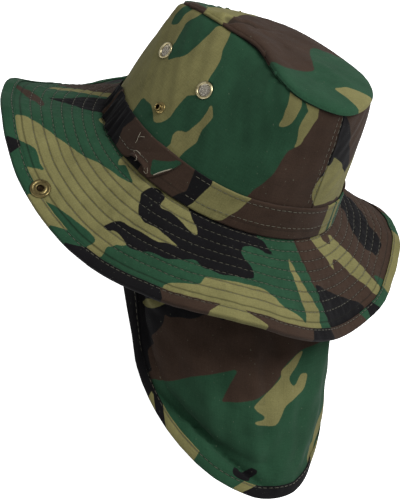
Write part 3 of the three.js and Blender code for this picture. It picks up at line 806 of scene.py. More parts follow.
def printed_cotton(name):
    material, tree, shader = new_material(
        name, Roughness=0.95, Sheen_Weight=0.03, Sheen_Roughness=0.5, Specular_IOR_Level=0.1)
    start = Wire(tree)
    places = start.node("ShaderNodeUVMap", {"uv_map": "weave"})
    across = start.node("ShaderNodeSeparateXYZ", (), {0: places}, 0) * 1000
    along = start.node("ShaderNodeSeparateXYZ", (), {0: places}, 1) * 1000

    # Ink: each colour's edge breaks up a little on the threads
    ragged = (places.noise(900.0, 1.0) - 0.5) * 0.7
    colour = linear(DYES["green"])
    for ink in COLOURS:
        depth = start.node("ShaderNodeAttribute", {"attribute_name": ink}, (), 2)
        cover = ((depth + ragged + 0.35) * 2.2).clamped()
        colour = cover.mix(colour, linear(DYES[ink]))

    # Threads: slubs along the warp and the weft, twill lines, and pale lint
    warp = places.mapped((1500.0, 90.0, 1)).noise(1.0, 2.0, 0.6)
    weft = places.mapped((90.0, 1500.0, 1)).noise(1.0, 2.0, 0.6)
    twill = ((across + along) * (math.tau / TWILL_PITCH)).sine()
    cloudy = places.noise(38.0, 3.0, 0.55)
    grain = places.noise(1000.0, 2.0, 0.7)
    pale = (warp + weft - 1) * 0.3 + twill * 0.03 + (cloudy - 0.5) * 0.5 + (grain - 0.5) * 0.5
    colour = start.node("ShaderNodeVectorMath", {"operation": "SCALE"}, {
        0: colour, "Scale": 1.0 + pale * 1.3})
    lint = ((places.noise(520.0, 1.0) - 0.735) * 30).clamped()
    colour = (lint * 0.3).mix(colour, linear((120, 126, 108)))

    # Seams: the cloth is drawn in along each stitched line, and painted shade darkens it there and
    # along the joins and creases that the seam distance marks
    seam = start.node("ShaderNodeAttribute", {"attribute_name": "seam"}, (), 2)
    drawn_in = (1 - abs(seam) / SEAM_SHADE_WIDTH).clamped()
    colour = (drawn_in * 0.55).mix(colour, linear((20, 20, 15)))

    crumple = places.noise(150.0, 4.0, 0.6) * 0.16 + cloudy * 0.5
    relief = (warp + weft) * 0.05 + twill * 0.018 + crumple - drawn_in * 0.12
    feed(shader, Base_Color=colour, Roughness=0.94 - pale * 0.25, Normal=relief.bump(1.0, 0.001))
    return material


def worn_metal(name, colour, worn, roughness=0.34):
    material, tree, shader = new_material(name, Metallic=1.0, Roughness=roughness)
    places = Wire(tree).node("ShaderNodeTexCoord", (), (), 3)
    patches = places.noise(420.0, 4.0, 0.6)
    scratches = places.mapped((1800.0, 160.0, 900.0), (0.4, 0.3, 0.8)).noise(1.0)
    tarnish = ((patches - 0.46) * 4).clamped()
    shade = tarnish.mix(linear(colour), linear(worn))
    relief = patches * 0.05 + scratches * 0.03
    feed(shader, Base_Color=shade, Normal=relief.bump(0.8, 0.001),
         Roughness=tarnish * 0.25 + scratches * 0.15 + (roughness - 0.1))
    return material


def twisted_thread(name, dark, light):
    material, tree, shader = new_material(name, Roughness=0.75, Sheen_Weight=0.2)
    places = Wire(tree).node("ShaderNodeTexCoord", (), (), 3)
    plies = places.node(
        "ShaderNodeTexWave", {"wave_type": "BANDS", "bands_direction": "DIAGONAL"},
        {"Vector": places, "Scale": 900.0, "Distortion": 2.0})
    colour = (plies * 0.4 + places.noise(260.0) * 0.6).mix(linear(dark), linear(light))
    feed(shader, Base_Color=colour, Normal=plies.bump(0.6, 0.0001))
    return material


crown_cotton = printed_cotton("crown_cotton")
brim_cotton = printed_cotton("brim_cotton")
flap_cotton = printed_cotton("flap_cotton")
tape_cotton = printed_cotton("tape_cotton")
brass = worn_metal("aged_brass", (112, 100, 66), (44, 37, 24), 0.38)
vent_brass = worn_metal("pale_brass", (176, 166, 132), (112, 100, 70))
stud_brass = worn_metal("stud_brass", (134, 118, 76), (42, 34, 22), 0.32)
# Near-black brass for the plug and the cup: painted shade inside the stud's hole and the socket's
# bore
hole_shade_brass = worn_metal("brass_painted_shade", (52, 42, 28), (20, 16, 12))
wire_mesh = worn_metal("screen_wire", (196, 190, 178), (140, 134, 122), 0.5)
thread = twisted_thread("sewing_thread", (50, 49, 37), (94, 91, 72))
pale_thread = twisted_thread("raw_thread", (112, 104, 86), (178, 170, 148))


def wear(piece, material):
    piece.data.materials.append(material)


# The crown's corner sags at the front left
def corner_sag(turn):
    off = np.mod(np.asarray(turn, float) - 14 + 180, 360) - 180
    return 3.4 * hump(off, 34)


# Crown wall, with the back seam, the vent holes and slow dents
def crown_lift(turn, rise, point):
    off_seam = (turn - BACK_SEAM) * BACK_RUN
    seam = 0.8 * hump(off_seam, 3.4) - 1.1 * hump(off_seam, 0.6)
    x, y = point[..., 0] + 0.5 * point[..., 2], point[..., 1] + 0.8 * point[..., 2]
    waves = 0.55 * unevenness(x, y, 52, 3) + 0.16 * unevenness(x, y, 17, 4)
    tucked = -2.2 * hump(1 - rise, 0.016) * (0.5 + 0.5 * eased(turn, 70, 110))
    shoulder = 2.6 * np.exp(-((turn - 44) / 16) ** 2 - ((rise - 0.88) / 0.13) ** 2)
    return seam + waves * eased(rise, 0.12, 0.4) + tucked + shoulder


def crown_wall(turn, rise):
    point = crown_face(turn, rise)
    outward = outward_from(crown_face, turn, rise)
    sag = corner_sag(turn) * eased(rise, 0.55, 1)
    return point + outward * crown_lift(turn, rise, point)[..., None] - sag[..., None] * UP


turn, rise = grid(stepped_turns([(0, 50), (55, 210), (180, 30), (191, 60), (235, 60)]),
                  np.linspace(-0.002, 1, 90))
wall = crown_wall(turn, rise)
kept = np.ones(turn.shape, bool)
HOLE = VENT_BORE + 0.85
HOLE_MARGIN = 3.4
for vent_turn, vent_rise in VENTS.values():
    centre = crown_wall(np.array(vent_turn, float), np.array(vent_rise))
    away = wall - centre
    radius = np.linalg.norm(away, axis=-1)
    kept &= radius > HOLE
    widened = HOLE + (radius - HOLE) ** 2 / HOLE_MARGIN
    near = (radius > HOLE) & (radius < HOLE + HOLE_MARGIN)
    wall = np.where(near[..., None], centre + away * (widened / radius)[..., None], wall)
flat = crown_flat(turn, rise)
hidden = blotched(*crown_flat(past_front(turn), rise), 40)
fields = mixed(charted(CROWN_PRINT_AND_SHADOW, crown_flat, *flat, 0.01), hidden,
               unseen(turn, (222, 240), (390, 402)))
# Distance to the back seam, the tip's lap and the foot, for painted shade along them; the dark line
# under the lap is widened at the back left as a painted shadow under the tip's overhang
under_tip_shadow = hump(turn - 128, 26)
seams = np.min([np.abs(turn - BACK_SEAM) * BACK_RUN,
                np.abs(rise - 0.985) * (100 - 60 * under_tip_shadow), np.abs(rise) * 60], 0)
crown_cloth = cloth_sheet(
    "crown_wall", wall, True, False, CROWN_CLOTH, ["crown_side"], fields, seams,
    flat, CROWN_RUN * 360, kept)
wear(crown_cloth, crown_cotton)


# Tip, a soft lid that rolls over the tip seam and is pinched beside the left dent
def beside_pinch(turn, ring):
    x, y = tip_flat(turn, ring)
    (ax, ay), (bx, by) = (np.array(tip_flat(np.array(t, float), r)) for t, r in PINCH)
    length = math.hypot(bx - ax, by - ay)
    run = ((x - ax) * (bx - ax) + (y - ay) * (by - ay)) / length
    off = ((x - ax) * (by - ay) - (y - ay) * (bx - ax)) / length
    return off, eased(run, -6, 6) * (1 - eased(run, 0.6 * length, 1.15 * length))


def tip_lift(turn, ring):
    x, y = tip_flat(turn, ring)
    off, reach = beside_pinch(turn, ring)
    ridge = 1.2 * hump(off - 6.5, 4) + 2.8 * hump(off + 7, 4.5)
    hollow = -4.6 * hump(off - 2, np.where(off > 2, 1.8, 4.2))
    waves = 0.5 * unevenness(x, y, 42, 8) + 0.12 * unevenness(x, y, 13, 9)
    return (ridge + hollow) * reach * (1 - ring ** 16) + waves * (1 - ring ** 6)


def tip_top(turn, ring):
    inner = np.minimum(ring, 1.0)
    puckers = 0.1 * np.sin(np.radians(turn) * 46 + 2 * np.sin(np.radians(turn) * 5)) * inner ** 10
    sag = corner_sag(turn)
    lift = tip_lift(turn, inner) + puckers - sag * eased(inner, 0.3, 1)
    point = tip_face(turn, inner) + lift[..., None] * UP
    under = np.clip((ring - 1) / 0.1, 0, 1)[..., None]
    outward = outward_from(crown_face, turn, TIP_LAP)
    lap = crown_face(turn, TIP_LAP) + outward * (CROWN_CLOTH + 0.3) - sag[..., None] * UP
    swell = point + outward * 0.8 - UP * 1.3
    tuck = lap + outward * 0.7 + UP * 0.2
    return (point * (1 - under) ** 3 + swell * 3 * under * (1 - under) ** 2
            + tuck * 3 * under ** 2 * (1 - under) + lap * under ** 3)


turn, ring = grid(stepped_turns([(0, 50), (55, 200), (220, 90)]), np.concatenate([
    [0.0], np.linspace(0.012, 0.84, 34), np.linspace(0.86, 0.97, 10), [0.98, 0.989, 0.996],
    np.linspace(1.0, 1.1, 9)]))
flat = tip_flat(turn, ring)
fields = charted(TIP_PRINT, tip_flat, *flat, 0.01)
# Painted shade in the pinch's crease: a dark stripe along the hollow, fading where the pinch runs
# out
off, reach = beside_pinch(turn, ring)
crease_shade = np.maximum(np.abs(off + 1.5) - 1.5, 0) * 0.6 + 2 * (1 - reach)
crown_top = cloth_sheet(
    "crown_top", tip_top(turn, ring), True, True, CROWN_CLOTH, ["crown_tip"],
    fields, crease_shade, flat)
wear(crown_top, crown_cotton)


# Band, bunched in front, with its cut end lapped over on the left
def band_out(turn, share):
    lap = eased(turn, BAND_END - BAND_LAP * 2, BAND_END - BAND_LAP) * (BAND_CLOTH + GAP)
    x, y = on_circle(turn, BAND_RADIUS)
    bunch = eased(np.mod(turn, 360), 40, 54) * (1 - eased(np.mod(turn, 360), 78, 86))
    fold = np.sin(turn * 1.15 + 1.6 * share + 1.8 * np.sin(turn * 0.31))
    pleats = bunch * (1 + 1.3 * fold + 0.5 * np.sin(turn * 2.9 - 2 * share)) * (1 - 0.5 * share)
    lifted = np.exp(-((turn - 102) / 5.6) ** 4) * (1 - share) ** 4
    waves = 0.28 * unevenness(x, y + 24 * share, 30, 12)
    return GAP + lap + BAND_CLOTH + 0.2 + np.maximum(pleats, 0) + np.abs(waves) + 3.4 * lifted


def band_row(turn):
    return 6.0 + 2.2 * eased(turn, 132, 155)


def band_top(turn, share):
    lifted = 6.5 * np.exp(-((turn - 101.5) / 6) ** 4) * (1 - share) ** 2 / BAND_HEIGHT
    bowed = np.mod(turn, 360)
    lowered = 1 - 0.4 * eased(bowed, 8, 26) * (1 - eased(bowed, 44, 62))
    raised = 1 + 0.09 * hump(bowed - 176, 20)
    place = np.minimum(share * lowered + lifted, 1.0) * raised
    outward = outward_from(band_face, turn, place)
    return band_face(turn, place) + outward * band_out(turn, share)[..., None]


turn, share = grid(
    np.linspace(BAND_END - 360 - BAND_LAP, BAND_END, 760), np.linspace(-0.01, 1, 22))
cut = -9.0 * (1 - share) ** 1.6 * eased(turn, BAND_END - 24, BAND_END)
turn = turn + cut
height = share * BAND_HEIGHT
once_round = np.mod(turn, 360)
hidden = blotched(*band_flat(past_front(once_round), height), 70)
fields = mixed(charted(BAND_PRINT_AND_HIGHLIGHTS, band_flat, *band_flat(once_round, height)), hidden,
               unseen(once_round, (246, 258), (394, 402)))
# Painted shade along the band's stitched rows
upper_row = np.where(once_round < 124, NO_SEAM, np.abs(height - BAND_UPPER_ROW))
seams = np.minimum(np.abs(height - band_row(turn)), upper_row)
crown_band = cloth_sheet(
    "crown_band", band_top(turn, share), False, False, BAND_CLOTH, ["hat_band"],
    fields, seams, band_flat(turn, height))
wear(crown_band, crown_cotton)


# Brim: two cloths quilted together, in slow waves
def brim_waves(turn, distance):
    place = on_circle(turn, BRIM_RADIUS)
    slow = 0.9 * unevenness(*place, 58, 15) + 0.35 * unevenness(*place, 22, 16)
    fine = 0.12 * unevenness(*brim_flat(turn, distance), 12, 17)
    lift = np.interp(np.mod(turn, 360), RIM_LIFT[:, 0], RIM_LIFT[:, 1])
    return (lift * np.clip(distance / BRIM_EDGE, 0, 1) ** 2
            + (slow * eased(distance, 5, 60) + fine * eased(distance, 2, 10)) * 0.9)


def seam_run(turn, distance):
    return (turn - 182 - 8.5 * distance / 67.5) * (BRIM_RADIUS + distance) * math.pi / 180


def from_row(distance):
    return np.min([np.abs(distance - row) for row in BRIM_ROWS], 0)


def quilting(turn, distance):
    off = np.minimum(from_row(distance) / 3.75, 1)
    gathers = 1 + 0.25 * unevenness(*brim_flat(turn, distance), 7, 18)
    puffed = 0.55 * gathers * np.sqrt(1 - (1 - off) ** 2) - 0.3
    sewn = np.where((distance > 0) & (distance < 65), puffed, 0)
    joined = 0.5 * hump(seam_run(turn, distance), GROOVE_WIDTH) * (distance > 0)
    return sewn - joined


def brim_top(turn, distance):
    outward = outward_from(brim_face, turn, distance)
    lift = brim_waves(turn, distance) + quilting(turn, distance)
    return brim_face(turn, distance) + outward * lift[..., None]


def brim_under(turn, distance):
    outward = outward_from(brim_face, turn, distance)
    lift = brim_waves(turn, distance) - quilting(turn, distance)
    return brim_face(turn, distance, BRIM_CLOTH) + outward * lift[..., None]


# The brim's section runs out along its upper cloth and back in along its lower one
def both(above, below):
    return np.concatenate([above, below[:, ::-1]], 1)


AROUND_BRIM = round_turns(600)
distances = np.concatenate(
    [[-CROWN_CLOTH, 0, 1.2]]
    + [row + np.array([0, 0.4, 1.2, 2.5, 5, 6.3, 7.1]) for row in BRIM_ROWS[:-1]]
    + [np.linspace(BRIM_ROWS[-1], BRIM_EDGE, 8)])
turn, distance = grid(AROUND_BRIM, distances)
flat = brim_flat(turn, distance)
above = mixed(charted(BRIM_PRINT, brim_flat, *flat), blotched(*flat, 100),
              unseen(turn, (262, 276), (372, 384)))
below = blotched(*flat, 130)
# Painted shade along the quilting rows, the back seam, the crown's foot, and a dark line at the
# binding's inner edge
seams = np.min([from_row(distance), np.abs(seam_run(turn, distance)), np.abs(distance),
                np.abs(distance - BRIM_EDGE + BINDING_WIDTH + 0.4)], 0)
brim_piece = swept(
    "quilted_brim", both(brim_top(turn, distance), brim_under(turn, distance)), True,
    ["brim"], {colour: both(above[colour], below[colour]) for colour in COLOURS},
    both(seams, seams), [both(place, place) for place in flat])
wear(brim_piece, brim_cotton)


def folded_section(width, cloth, binding, sewn):
    inside = cloth / 2 + GAP
    outside = inside + binding
    edge = [(GAP + binding * 1.2 * math.sin(a), outside * math.cos(a))
            for a in np.radians((155, 135, 115, 98, 82, 65, 45, 25))]
    return np.array([
        (-width, inside), (-width * 0.6, inside), (-width * 0.3, inside), (GAP, inside),
        (GAP * 2, inside * 0.6), (GAP * 2, -inside * 0.6),
        (GAP, -inside), (-width * 0.3, -inside), (-width * 0.6, -inside), (-width, -inside),
        (-width, -outside + 0.25), (-width + 0.3, -outside), (-sewn - 0.4, -outside),
        (-sewn, -outside), (-sewn + 0.4, -outside), (-sewn + 1.2, -outside),
        (-width * 0.3, -outside), (-0.2, -outside), *edge, (-0.2, outside),
        (-width * 0.3, outside), (-sewn + 1.2, outside), (-sewn + 0.4, outside),
        (-sewn, outside), (-sewn - 0.4, outside), (-width + 0.3, outside),
        (-width, outside - 0.25)])


# How far it is along a line of points to each of them
def run_along(path):
    steps = np.linalg.norm(np.diff(path, axis=0), axis=1)
    return np.concatenate([[0], np.cumsum(steps)])


# A section at every turn: turn, reach from the edge, height, and run round the section
def carried(section, turns):
    turn, index = grid(turns, np.arange(len(section)))
    index = index.astype(int)
    reach, height = section[index].transpose(2, 0, 1)
    return turn, reach, height, run_along(section)[index]


# Tape rucked up between its stitches and drawn in along them
def sewn_down(height, reach, rucked, stitched, smooth, depth):
    groove = hump(stitched, GROOVE_WIDTH)
    loose = np.abs(rucked) * eased(-reach, 0, smooth) * (1 - groove)
    return height + np.sign(height) * (loose - depth * groove)


# Binding round the rim
RIM_STITCH = 6.2
RIM_GROOVE = 0.3


def rim_outward(turn):
    return outward_from(brim_face, turn, np.full_like(turn, BRIM_EDGE - 4))


section = folded_section(BINDING_WIDTH, BRIM_CLOTH, BINDING_CLOTH, RIM_STITCH)
turn, reach, height, run = carried(section, AROUND_BRIM)
rucked = 0.16 * unevenness(*on_circle(turn, BRIM_RADIUS), 7, 31)
stitched = reach + RIM_STITCH
height = sewn_down(height, reach, rucked, stitched, 4, RIM_GROOVE)
wave = brim_waves(turn, np.minimum(BRIM_EDGE + reach, BRIM_EDGE))
tape = (brim_face(turn, BRIM_EDGE + reach, BRIM_CLOTH / 2 - height)
        + rim_outward(turn) * wave[..., None])
fields = striped(BRIM_BINDING_PRINT, turn, np.clip(-reach / 7.2, 0, 1.3), 2.9)
# The tape darkens along its stitching: painted shade
rim_tape = swept(
    "brim_edge_tape", tape, True, ["brim_binding"], fields, np.abs(stitched),
    (turn * RIM_RUN, run), RIM_RUN * 360)
wear(rim_tape, tape_cotton)


# Neck flap, with soft folds and a valley beside its hem
def flap_out(turn, share):
    drop = flap_drop(turn) * share
    in_from_hem = flap_drop(turn) * (1 - share) * square_to_hem(turn)
    x = FLAP_RUN * turn
    hanging = 1.3 * unevenness(x, drop * 0.22, 46, 21) + 0.5 * unevenness(x, drop * 0.4, 19, 22)
    soft = 0.35 * unevenness(x, drop, 26, 23)
    off = in_from_hem - np.interp(turn, HEM_VALLEY[:, 0], HEM_VALLEY[:, 1])
    width = np.where(off > 0, 5.0, 2.4)
    depth = np.interp(turn, HEM_VALLEY[:, 0], HEM_VALLEY[:, 2])
    valley = -depth * np.exp(-(np.abs(off) / width) ** 1.1)
    belly = (4.7 + 0.8 * hump(share - 0.6, 0.2)) * eased(turn, 188, 216)
    drawn_in = 0.95 * eased(share, 0.7, 1) * (1 - eased(turn, 215, 236))
    belly *= (1 - drawn_in) * eased(share, 0.02, 0.12)
    loop = 3.5 * np.exp(-((turn - 115.5) / 4.5) ** 2 - ((drop - 78) / 4.5) ** 2)
    free = eased(share, 0.03, 0.3) * eased(in_from_hem, 0, 14)
    return (hanging + soft) * free + valley * eased(in_from_hem, 0, 5) + belly + loop


def flap_top(turn, share):
    outward = outward_from(flap_face, turn, share)
    return flap_face(turn, share) + outward * flap_out(turn, share)[..., None]


flap_turns = 180 + FLAP_HALF_TURN * np.sin(np.radians(np.linspace(-90, 90, 230)))
turn, share = grid(flap_turns, np.linspace(0, 1, 124))
flat = flap_flat(turn, flap_drop(turn) * share)
fields = mixed(charted(FLAP_PRINT_AND_SHADOW, flap_flat, *flat), blotched(*flat, 160), eased(turn, 214, 232))
neck_flap = cloth_sheet(
    "back_flap", flap_top(turn, share), False, True, FLAP_CLOTH, ["neck_flap"],
    fields, np.full_like(turn, NO_SEAM), flat)
wear(neck_flap, flap_cotton)


# The hem tape opens wider down the left side
def tape_share(turn):
    return 1 + 0.28 * (1 - eased(turn, 128, 165))


HEM_STITCH = 5.8
HEM_GROOVE = 0.22
section = folded_section(FLAP_BINDING_WIDTH, FLAP_CLOTH, FLAP_BINDING_CLOTH, HEM_STITCH)
turn, reach, height, run = carried(section, flap_turns[12:-12])
reach = np.where(reach < 0, reach * tape_share(turn), reach)
along = 1 + hem_share(turn, reach)
on_flap = np.minimum(along, 1.0)
rucked = 0.14 * unevenness(FLAP_RUN * turn, along * 180, 8, 33)
stitched = reach + HEM_STITCH * tape_share(turn)
height = sewn_down(height, reach, rucked, stitched, 3, HEM_GROOVE)
tape = flap_top(turn, on_flap) + (flap_face(turn, along) - flap_face(turn, on_flap))
tape = tape + outward_from(flap_face, turn, along) * (height - FLAP_CLOTH / 2)[..., None]
fields = striped(FLAP_BINDING_PRINT, turn, np.clip(-reach / 7, 0, 1.3), 2.4)
# The tape darkens along its stitching: painted shade
hem_tape = swept(
    "flap_hem_tape", tape, False, ["flap_binding"], fields, np.abs(stitched),
    (turn * HEM_RUN, run))
wear(hem_tape, tape_cotton)


# One stitch, modelled along +X and copied along each seam
def model_stitch():
    bpy.ops.object.select_all(action="DESELECT")
    bpy.ops.mesh.primitive_cylinder_add(vertices=5, radius=0.2 * MM, depth=2.2 * MM,
                                        end_fill_type="NGON", rotation=(0, math.pi / 2, 0))
    stitch = bpy.context.object
    bpy.ops.object.transform_apply(location=True, rotation=True, scale=True)
    bpy.ops.object.mode_set(mode="EDIT")
    for side in (-1, 1):
        bpy.ops.mesh.select_all(action="DESELECT")
        shell = bmesh.from_edit_mesh(stitch.data)
        for face in shell.faces:
            if face.normal.x * side > 0.9:
                face.select = True
        shell.select_flush_mode()
        bmesh.update_edit_mesh(stitch.data)
        bpy.ops.mesh.extrude_region_move(
            TRANSFORM_OT_translate={"value": (side * 0.6 * MM, 0, -0.2 * MM)})
        bpy.ops.transform.resize(value=(1, 0.45, 0.45))
    bpy.ops.object.mode_set(mode="OBJECT")
    return stitch


def between(places, run, path):
    return np.stack([np.interp(places, run, path[:, axis]) for axis in range(3)], -1)


def along_seam(path, pitch):
    run = run_along(path)
    count = max(2, int(run[-1] / pitch))
    middles = (np.arange(count) + 0.5) * run[-1] / count
    ahead = between(middles + 0.5, run, path) - between(middles - 0.5, run, path)
    return between(middles, run, path), unit(ahead), middles / run[-1]


def sew(name, seams, pitch=4.6):
    shape = np.array([v.co for v in stitch_model.data.vertices]) / MM
    pattern = [list(p.vertices) for p in stitch_model.data.polygons]
    points, faces = [], []
    for path, outward in seams:
        place, heading, share = along_seam(path, pitch)
        stand = between(share, np.linspace(0, 1, len(outward)), outward)
        aside = unit(np.cross(stand, heading))
        stand = np.cross(heading, aside)
        for spot, ahead, side, up in zip(place, heading, aside, stand):
            offset = len(points) * len(shape)
            points.append(spot + shape[:, :1] * ahead + shape[:, 1:2] * side + shape[:, 2:] * up)
            faces += [[offset + corner for corner in corners] for corners in pattern]
    piece = new_piece(name, np.concatenate(points), faces)
    wear(piece, thread)
    return piece


stitch_model = model_stitch()
circle = np.linspace(0, 360, 721)
SUNK = 0.06


def seam_on(face, panel, turns, alongs, stand_off=SUNK):
    turns, alongs = np.broadcast_arrays(np.asarray(turns, float), np.asarray(alongs, float))
    outward = outward_from(panel, turns, alongs)
    return face(turns, alongs) + outward * stand_off, outward


sew("brim_stitches_above", [
    seam_on(brim_top, brim_face, circle, row) for row in BRIM_ROWS[:-1]])
under_rows = []
for row in BRIM_ROWS[:-1]:
    path, outward = seam_on(brim_under, brim_face, circle, row, -SUNK)
    under_rows.append((path, -outward))
sew("brim_stitches_below", under_rows)

rim = np.full_like(circle, BRIM_EDGE - RIM_STITCH)
rim_out = rim_outward(circle)
wave = brim_waves(circle, rim)
half = BRIM_CLOTH / 2 + GAP + BINDING_CLOTH - RIM_GROOVE + SUNK
sew("rim_tape_stitches", [
    (brim_face(circle, rim, BRIM_CLOTH / 2 - side * half) + rim_out * wave[:, None],
     rim_out * side) for side in (1, -1)])

band_rows = []
for turns in (np.linspace(BAND_END - 352, 34, 560), np.linspace(84, BAND_END - 12, 60)):
    band_rows.append(seam_on(
        band_top, band_face, turns, band_row(np.mod(turns, 360)) / BAND_HEIGHT))
band_rows.append(seam_on(
    band_top, band_face, np.linspace(126 - 360, 34, 540), BAND_UPPER_ROW / BAND_HEIGHT))
sew("band_stitches", band_rows, 4.4)

sew("crown_back_stitches", [
    seam_on(crown_wall, crown_face, BACK_SEAM + off, np.linspace(0.23, 0.95, 80))
    for off in (-3.2, -0.7)])

hem_turns = flap_turns[14:-14]
hem_along = 1 + hem_share(hem_turns, -HEM_STITCH * tape_share(hem_turns))
half = FLAP_CLOTH / 2 + GAP + FLAP_BINDING_CLOTH - HEM_GROOVE + SUNK
hem_path, hem_out = seam_on(flap_top, flap_face, hem_turns, hem_along, 0.0)
hem_stitches = sew("hem_tape_stitches", [
    (hem_path + hem_out * (side * half - FLAP_CLOTH / 2), hem_out * side) for side in (1, -1)])
bpy.data.objects.remove(stitch_model)


# Round fitting: one ring of points extruded through a half profile of (radius, height)
def turned(name, profile, sides, closed, material):
    bpy.ops.object.select_all(action="DESELECT")
    radius, height = profile[0]
    bpy.ops.mesh.primitive_circle_add(vertices=sides, radius=radius * MM, fill_type="NOTHING")
    piece = bpy.context.object
    piece.name = name
    bpy.ops.object.mode_set(mode="EDIT")
    bpy.ops.mesh.select_all(action="SELECT")
    bpy.ops.transform.translate(value=(0, 0, height * MM))
    steps = profile[1:] + ([profile[0]] if closed else [])
    for next_radius, next_height in steps:
        bpy.ops.mesh.extrude_region_move(
            TRANSFORM_OT_translate={"value": (0, 0, (next_height - height) * MM)})
        bpy.ops.transform.resize(value=(next_radius / radius, next_radius / radius, 1))
        radius, height = next_radius, next_height
    bpy.ops.mesh.select_all(action="SELECT")
    bpy.ops.mesh.remove_doubles(threshold=0.00001)
    if not closed:
        bpy.ops.mesh.fill_holes(sides=0)
    bpy.ops.mesh.select_all(action="SELECT")
    bpy.ops.mesh.normals_make_consistent(inside=False)
    bpy.ops.object.mode_set(mode="OBJECT")
    bevel = piece.modifiers.new("soft_edges", "BEVEL")
    bevel.width = 0.12 * MM
    bevel.segments = 2
    bevel.limit_method = "ANGLE"
    bevel.angle_limit = math.radians(35)
    apply_modifiers(piece)
    bpy.ops.object.shade_smooth_by_angle(angle=math.radians(50))
    wear(piece, material)
    return piece


def placed(model, name, position, outward, node=None):
    piece = in_scene(name, model.data.copy())
    turned_up = Vector((0, 0, 1)).rotation_difference(Vector(outward)).to_matrix().to_4x4()
    piece.data.transform(Matrix.Translation(Vector(position) * MM) @ turned_up)
    settle(piece, [node] if node else [])


eyelet = turned("eyelet_model", [
    (4.6, -2.2), (5.3, -2.2), (5.3, 0.2), (6.3, 0.2), (6.5, 0.4), (6.35, 0.8), (5.9, 1.15),
    (5.5, 1.22), (5.1, 1.1), (4.8, 0.8), (4.6, 0.3)], 48, True, vent_brass)
stud = turned("stud_model", [
    (1.7, 0.3), (4.3, 0.3), (4.4, 0.55), (4.1, 0.9), (3.3, 1.15), (2.6, 1.5), (2.4, 2.2),
    (2.7, 3.0), (2.75, 3.5), (2.5, 3.9), (2.1, 4.0), (1.8, 3.7), (1.7, 3.2)], 40, True, stud_brass)
# The plug and the cup close the stud's hole and the socket's bore in near-black brass, as painted
# shade
plug = turned("plug_model", [
    (1.6, 0.4), (1.6, 1.2), (1.2, 1.35), (0.5, 1.4)], 24, False, hole_shade_brass)
socket = turned("socket_model", [
    (2.7, 1.6), (7.3, 1.6), (7.5, 1.9), (7.2, 2.4), (6.5, 2.75), (5.7, 2.75), (5.2, 2.45),
    (4.8, 2.35), (4.3, 2.55), (3.5, 2.75), (2.9, 2.6), (2.7, 2.2)], 48, True, brass)
cup = turned("cup_model", [
    (2.62, 1.3), (2.62, 2.15), (2.38, 2.35), (2.2, 1.8), (1.9, 1.5), (0.7, 1.45)],
    36, False, hole_shade_brass)


# Fine round strands along paths
def strands(name, radius, paths, material):
    curve = bpy.data.curves.new(name, "CURVE")
    curve.dimensions = "3D"
    curve.bevel_depth = radius * MM
    curve.bevel_resolution = 0
    curve.use_fill_caps = True
    for path in paths:
        spline = curve.splines.new("POLY")
        spline.points.add(len(path) - 1)
        for point, spot in zip(spline.points, path):
            point.co = (*(float(along) * MM for along in spot), 1)
    select_only(in_scene(name, curve))
    bpy.ops.object.convert(target="MESH")
    piece = bpy.context.object
    wear(piece, material)
    return piece


# Round of woven wire for an eyelet
def woven_round():
    radius, pitch, wire, wave = 4.45, 0.78, 0.17, 0.13
    paths = []
    lines = np.arange(-5, 6) * pitch
    for axis in (0, 1):
        for number, line in enumerate(lines):
            reach = math.sqrt(max(radius ** 2 - line ** 2, 0)) - 0.1
            places = np.linspace(-reach, reach, max(6, int(4 * reach / pitch)))
            heights = wave * np.cos(math.pi * places / pitch + (number + axis) % 2 * math.pi)
            lines_on = np.full(len(places), line)
            flat = (places, lines_on) if axis == 0 else (lines_on, places)
            paths.append(np.stack([*flat, heights], -1))
    return strands("screen_model", wire, paths, wire_mesh)


# Loose threads on the band, some hanging below its foot, and the pale cut edge of its lapped end
FOOT_HEM = 0.6


def on_band(spots, stand_off):
    turns, heights, lifts = np.asarray(spots, float).T
    share = np.maximum(heights, FOOT_HEM) / BAND_HEIGHT
    outward = outward_from(band_face, turns, share)
    hanging = np.minimum(heights - FOOT_HEM, 0)[:, None] * UP
    return band_top(turns, share) + outward * (stand_off + lifts)[:, None] + hanging


loose_threads = strands("loose_threads", 0.15, [
    on_band([(94.7, 12.2, 0), (94.9, 14.5, 0.6), (94.4, 16.8, 0.9), (93.6, 20.2, 0.3)], 0.25),
    on_band([(94.4, 16.6, 0.8), (95.4, 18.4, 0.7), (96.9, 19.8, 0.2)], 0.25),
    on_band([(98, 3.5, 0), (97, 5.6, 1), (98.4, 7, 1.2), (100.4, 6.8, 0.6), (101.3, 5.4, 0)], 0.2),
    on_band([(107, 3.6, 0), (108.4, 2.6, 0.8), (108, 0.8, 1), (106.8, -0.6, 0.4)], 0.2),
    on_band([(99.5, 2.4, 0), (101.2, 1.2, 0.7), (101.8, -0.8, 1.2), (101, -2.2, 0.8)], 0.1)],
    pale_thread)
settle(loose_threads)
cut_edge = strands("band_cut_edge", 0.42, [
    on_band([(110.7, 4.6, -0.3), (111.6, 6.8, 0), (112.7, 9.2, 0.1), (114, 11.8, 0),
             (115.2, 14, -0.2), (116, 16, -0.5)], 0.1)], pale_thread)
settle(cut_edge)

# Eyelets with their screens, and the snaps
screen = woven_round()
for name, (vent_turn, vent_rise) in VENTS.items():
    spot, rise = np.array(vent_turn, float), np.array(vent_rise)
    outward = outward_from(crown_face, spot, rise)
    centre = crown_wall(spot, rise)
    placed(eyelet, "eyelet_" + name, centre, outward, "vent_ring_" + name)
    placed(screen, "screen_" + name, centre, outward, "vent_screen_" + name)

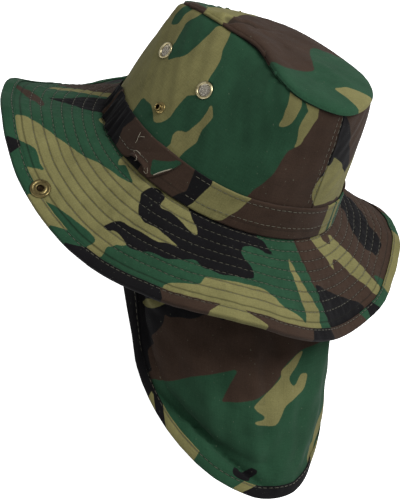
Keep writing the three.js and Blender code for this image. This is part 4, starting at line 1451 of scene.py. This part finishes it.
for name, (stud_turn, socket_turn) in SNAPS.items():
    spot, rise = np.array(stud_turn, float), np.array(STUD_RISE)
    outward = outward_from(crown_face, spot, rise)
    position = crown_wall(spot, rise)
    placed(stud, "snap_stud_" + name, position, outward, "crown_stud_" + name)
    placed(plug, "snap_plug_" + name, position, outward)
    spot, reach = np.array(socket_turn, float), np.array(SOCKET_REACH * BRIM_EDGE)
    outward = outward_from(brim_face, spot, reach)
    position = brim_face(spot, reach) + outward * brim_waves(spot, reach)
    placed(socket, "snap_socket_" + name, position, outward, "brim_socket_" + name)
    placed(cup, "snap_cup_" + name, position, outward)
for model in (eyelet, stud, plug, socket, cup, screen):
    bpy.data.objects.remove(model)


# Camera, behind and above the hat on the wearer's left
camera = bpy.data.cameras.new("camera")
camera.lens = 124.67
camera.sensor_width = 36
camera_object = in_scene("camera", camera)
camera_object.matrix_world = Matrix((
    (-0.7927, -0.00405, 0.60959, 0.79965),
    (0.48363, -0.61294, 0.62483, 0.84280),
    (0.37111, 0.79012, 0.48784, 0.56886),
    (0, 0, 0, 1)))
bpy.context.scene.camera = camera_object
right, up, back = (Vector(camera_object.matrix_world.col[i][:3]) for i in range(3))

# One soft light, beside and above the camera, in a pale room
direction = right * 0.6 + up * 0.45 + back * 0.65
lamp = bpy.data.lights.new("key", "AREA")
lamp.size = 0.9
lamp.energy = 26
lamp_object = in_scene("key", lamp)
lamp_object.location = direction.normalized() * 1.6
lamp_object.rotation_mode = "QUATERNION"
lamp_object.rotation_quaternion = direction.to_track_quat("Z", "Y")

world = bpy.data.worlds.new("studio")
world.use_nodes = True
background = world.node_tree.nodes["Background"]
background.inputs["Color"].default_value = (1, 1, 1, 1)
background.inputs["Strength"].default_value = 0.5
bpy.context.scene.world = world
bpy.context.scene.view_settings.view_transform = "Standard"

bpy.ops.object.select_all(action="DESELECT")
bpy.ops.mesh.primitive_plane_add(size=8, location=(0, 0, -0.26))
floor = bpy.context.object
floor.name = "floor"
material, tree, shader = new_material("pale_floor", Roughness=0.9)
shader.inputs["Base Color"].default_value = (0.9, 0.9, 0.9, 1)
shader.inputs["Emission Color"].default_value = (1, 1, 1, 1)
shader.inputs["Emission Strength"].default_value = 0.85
floor.visible_diffuse = False
wear(floor, material)
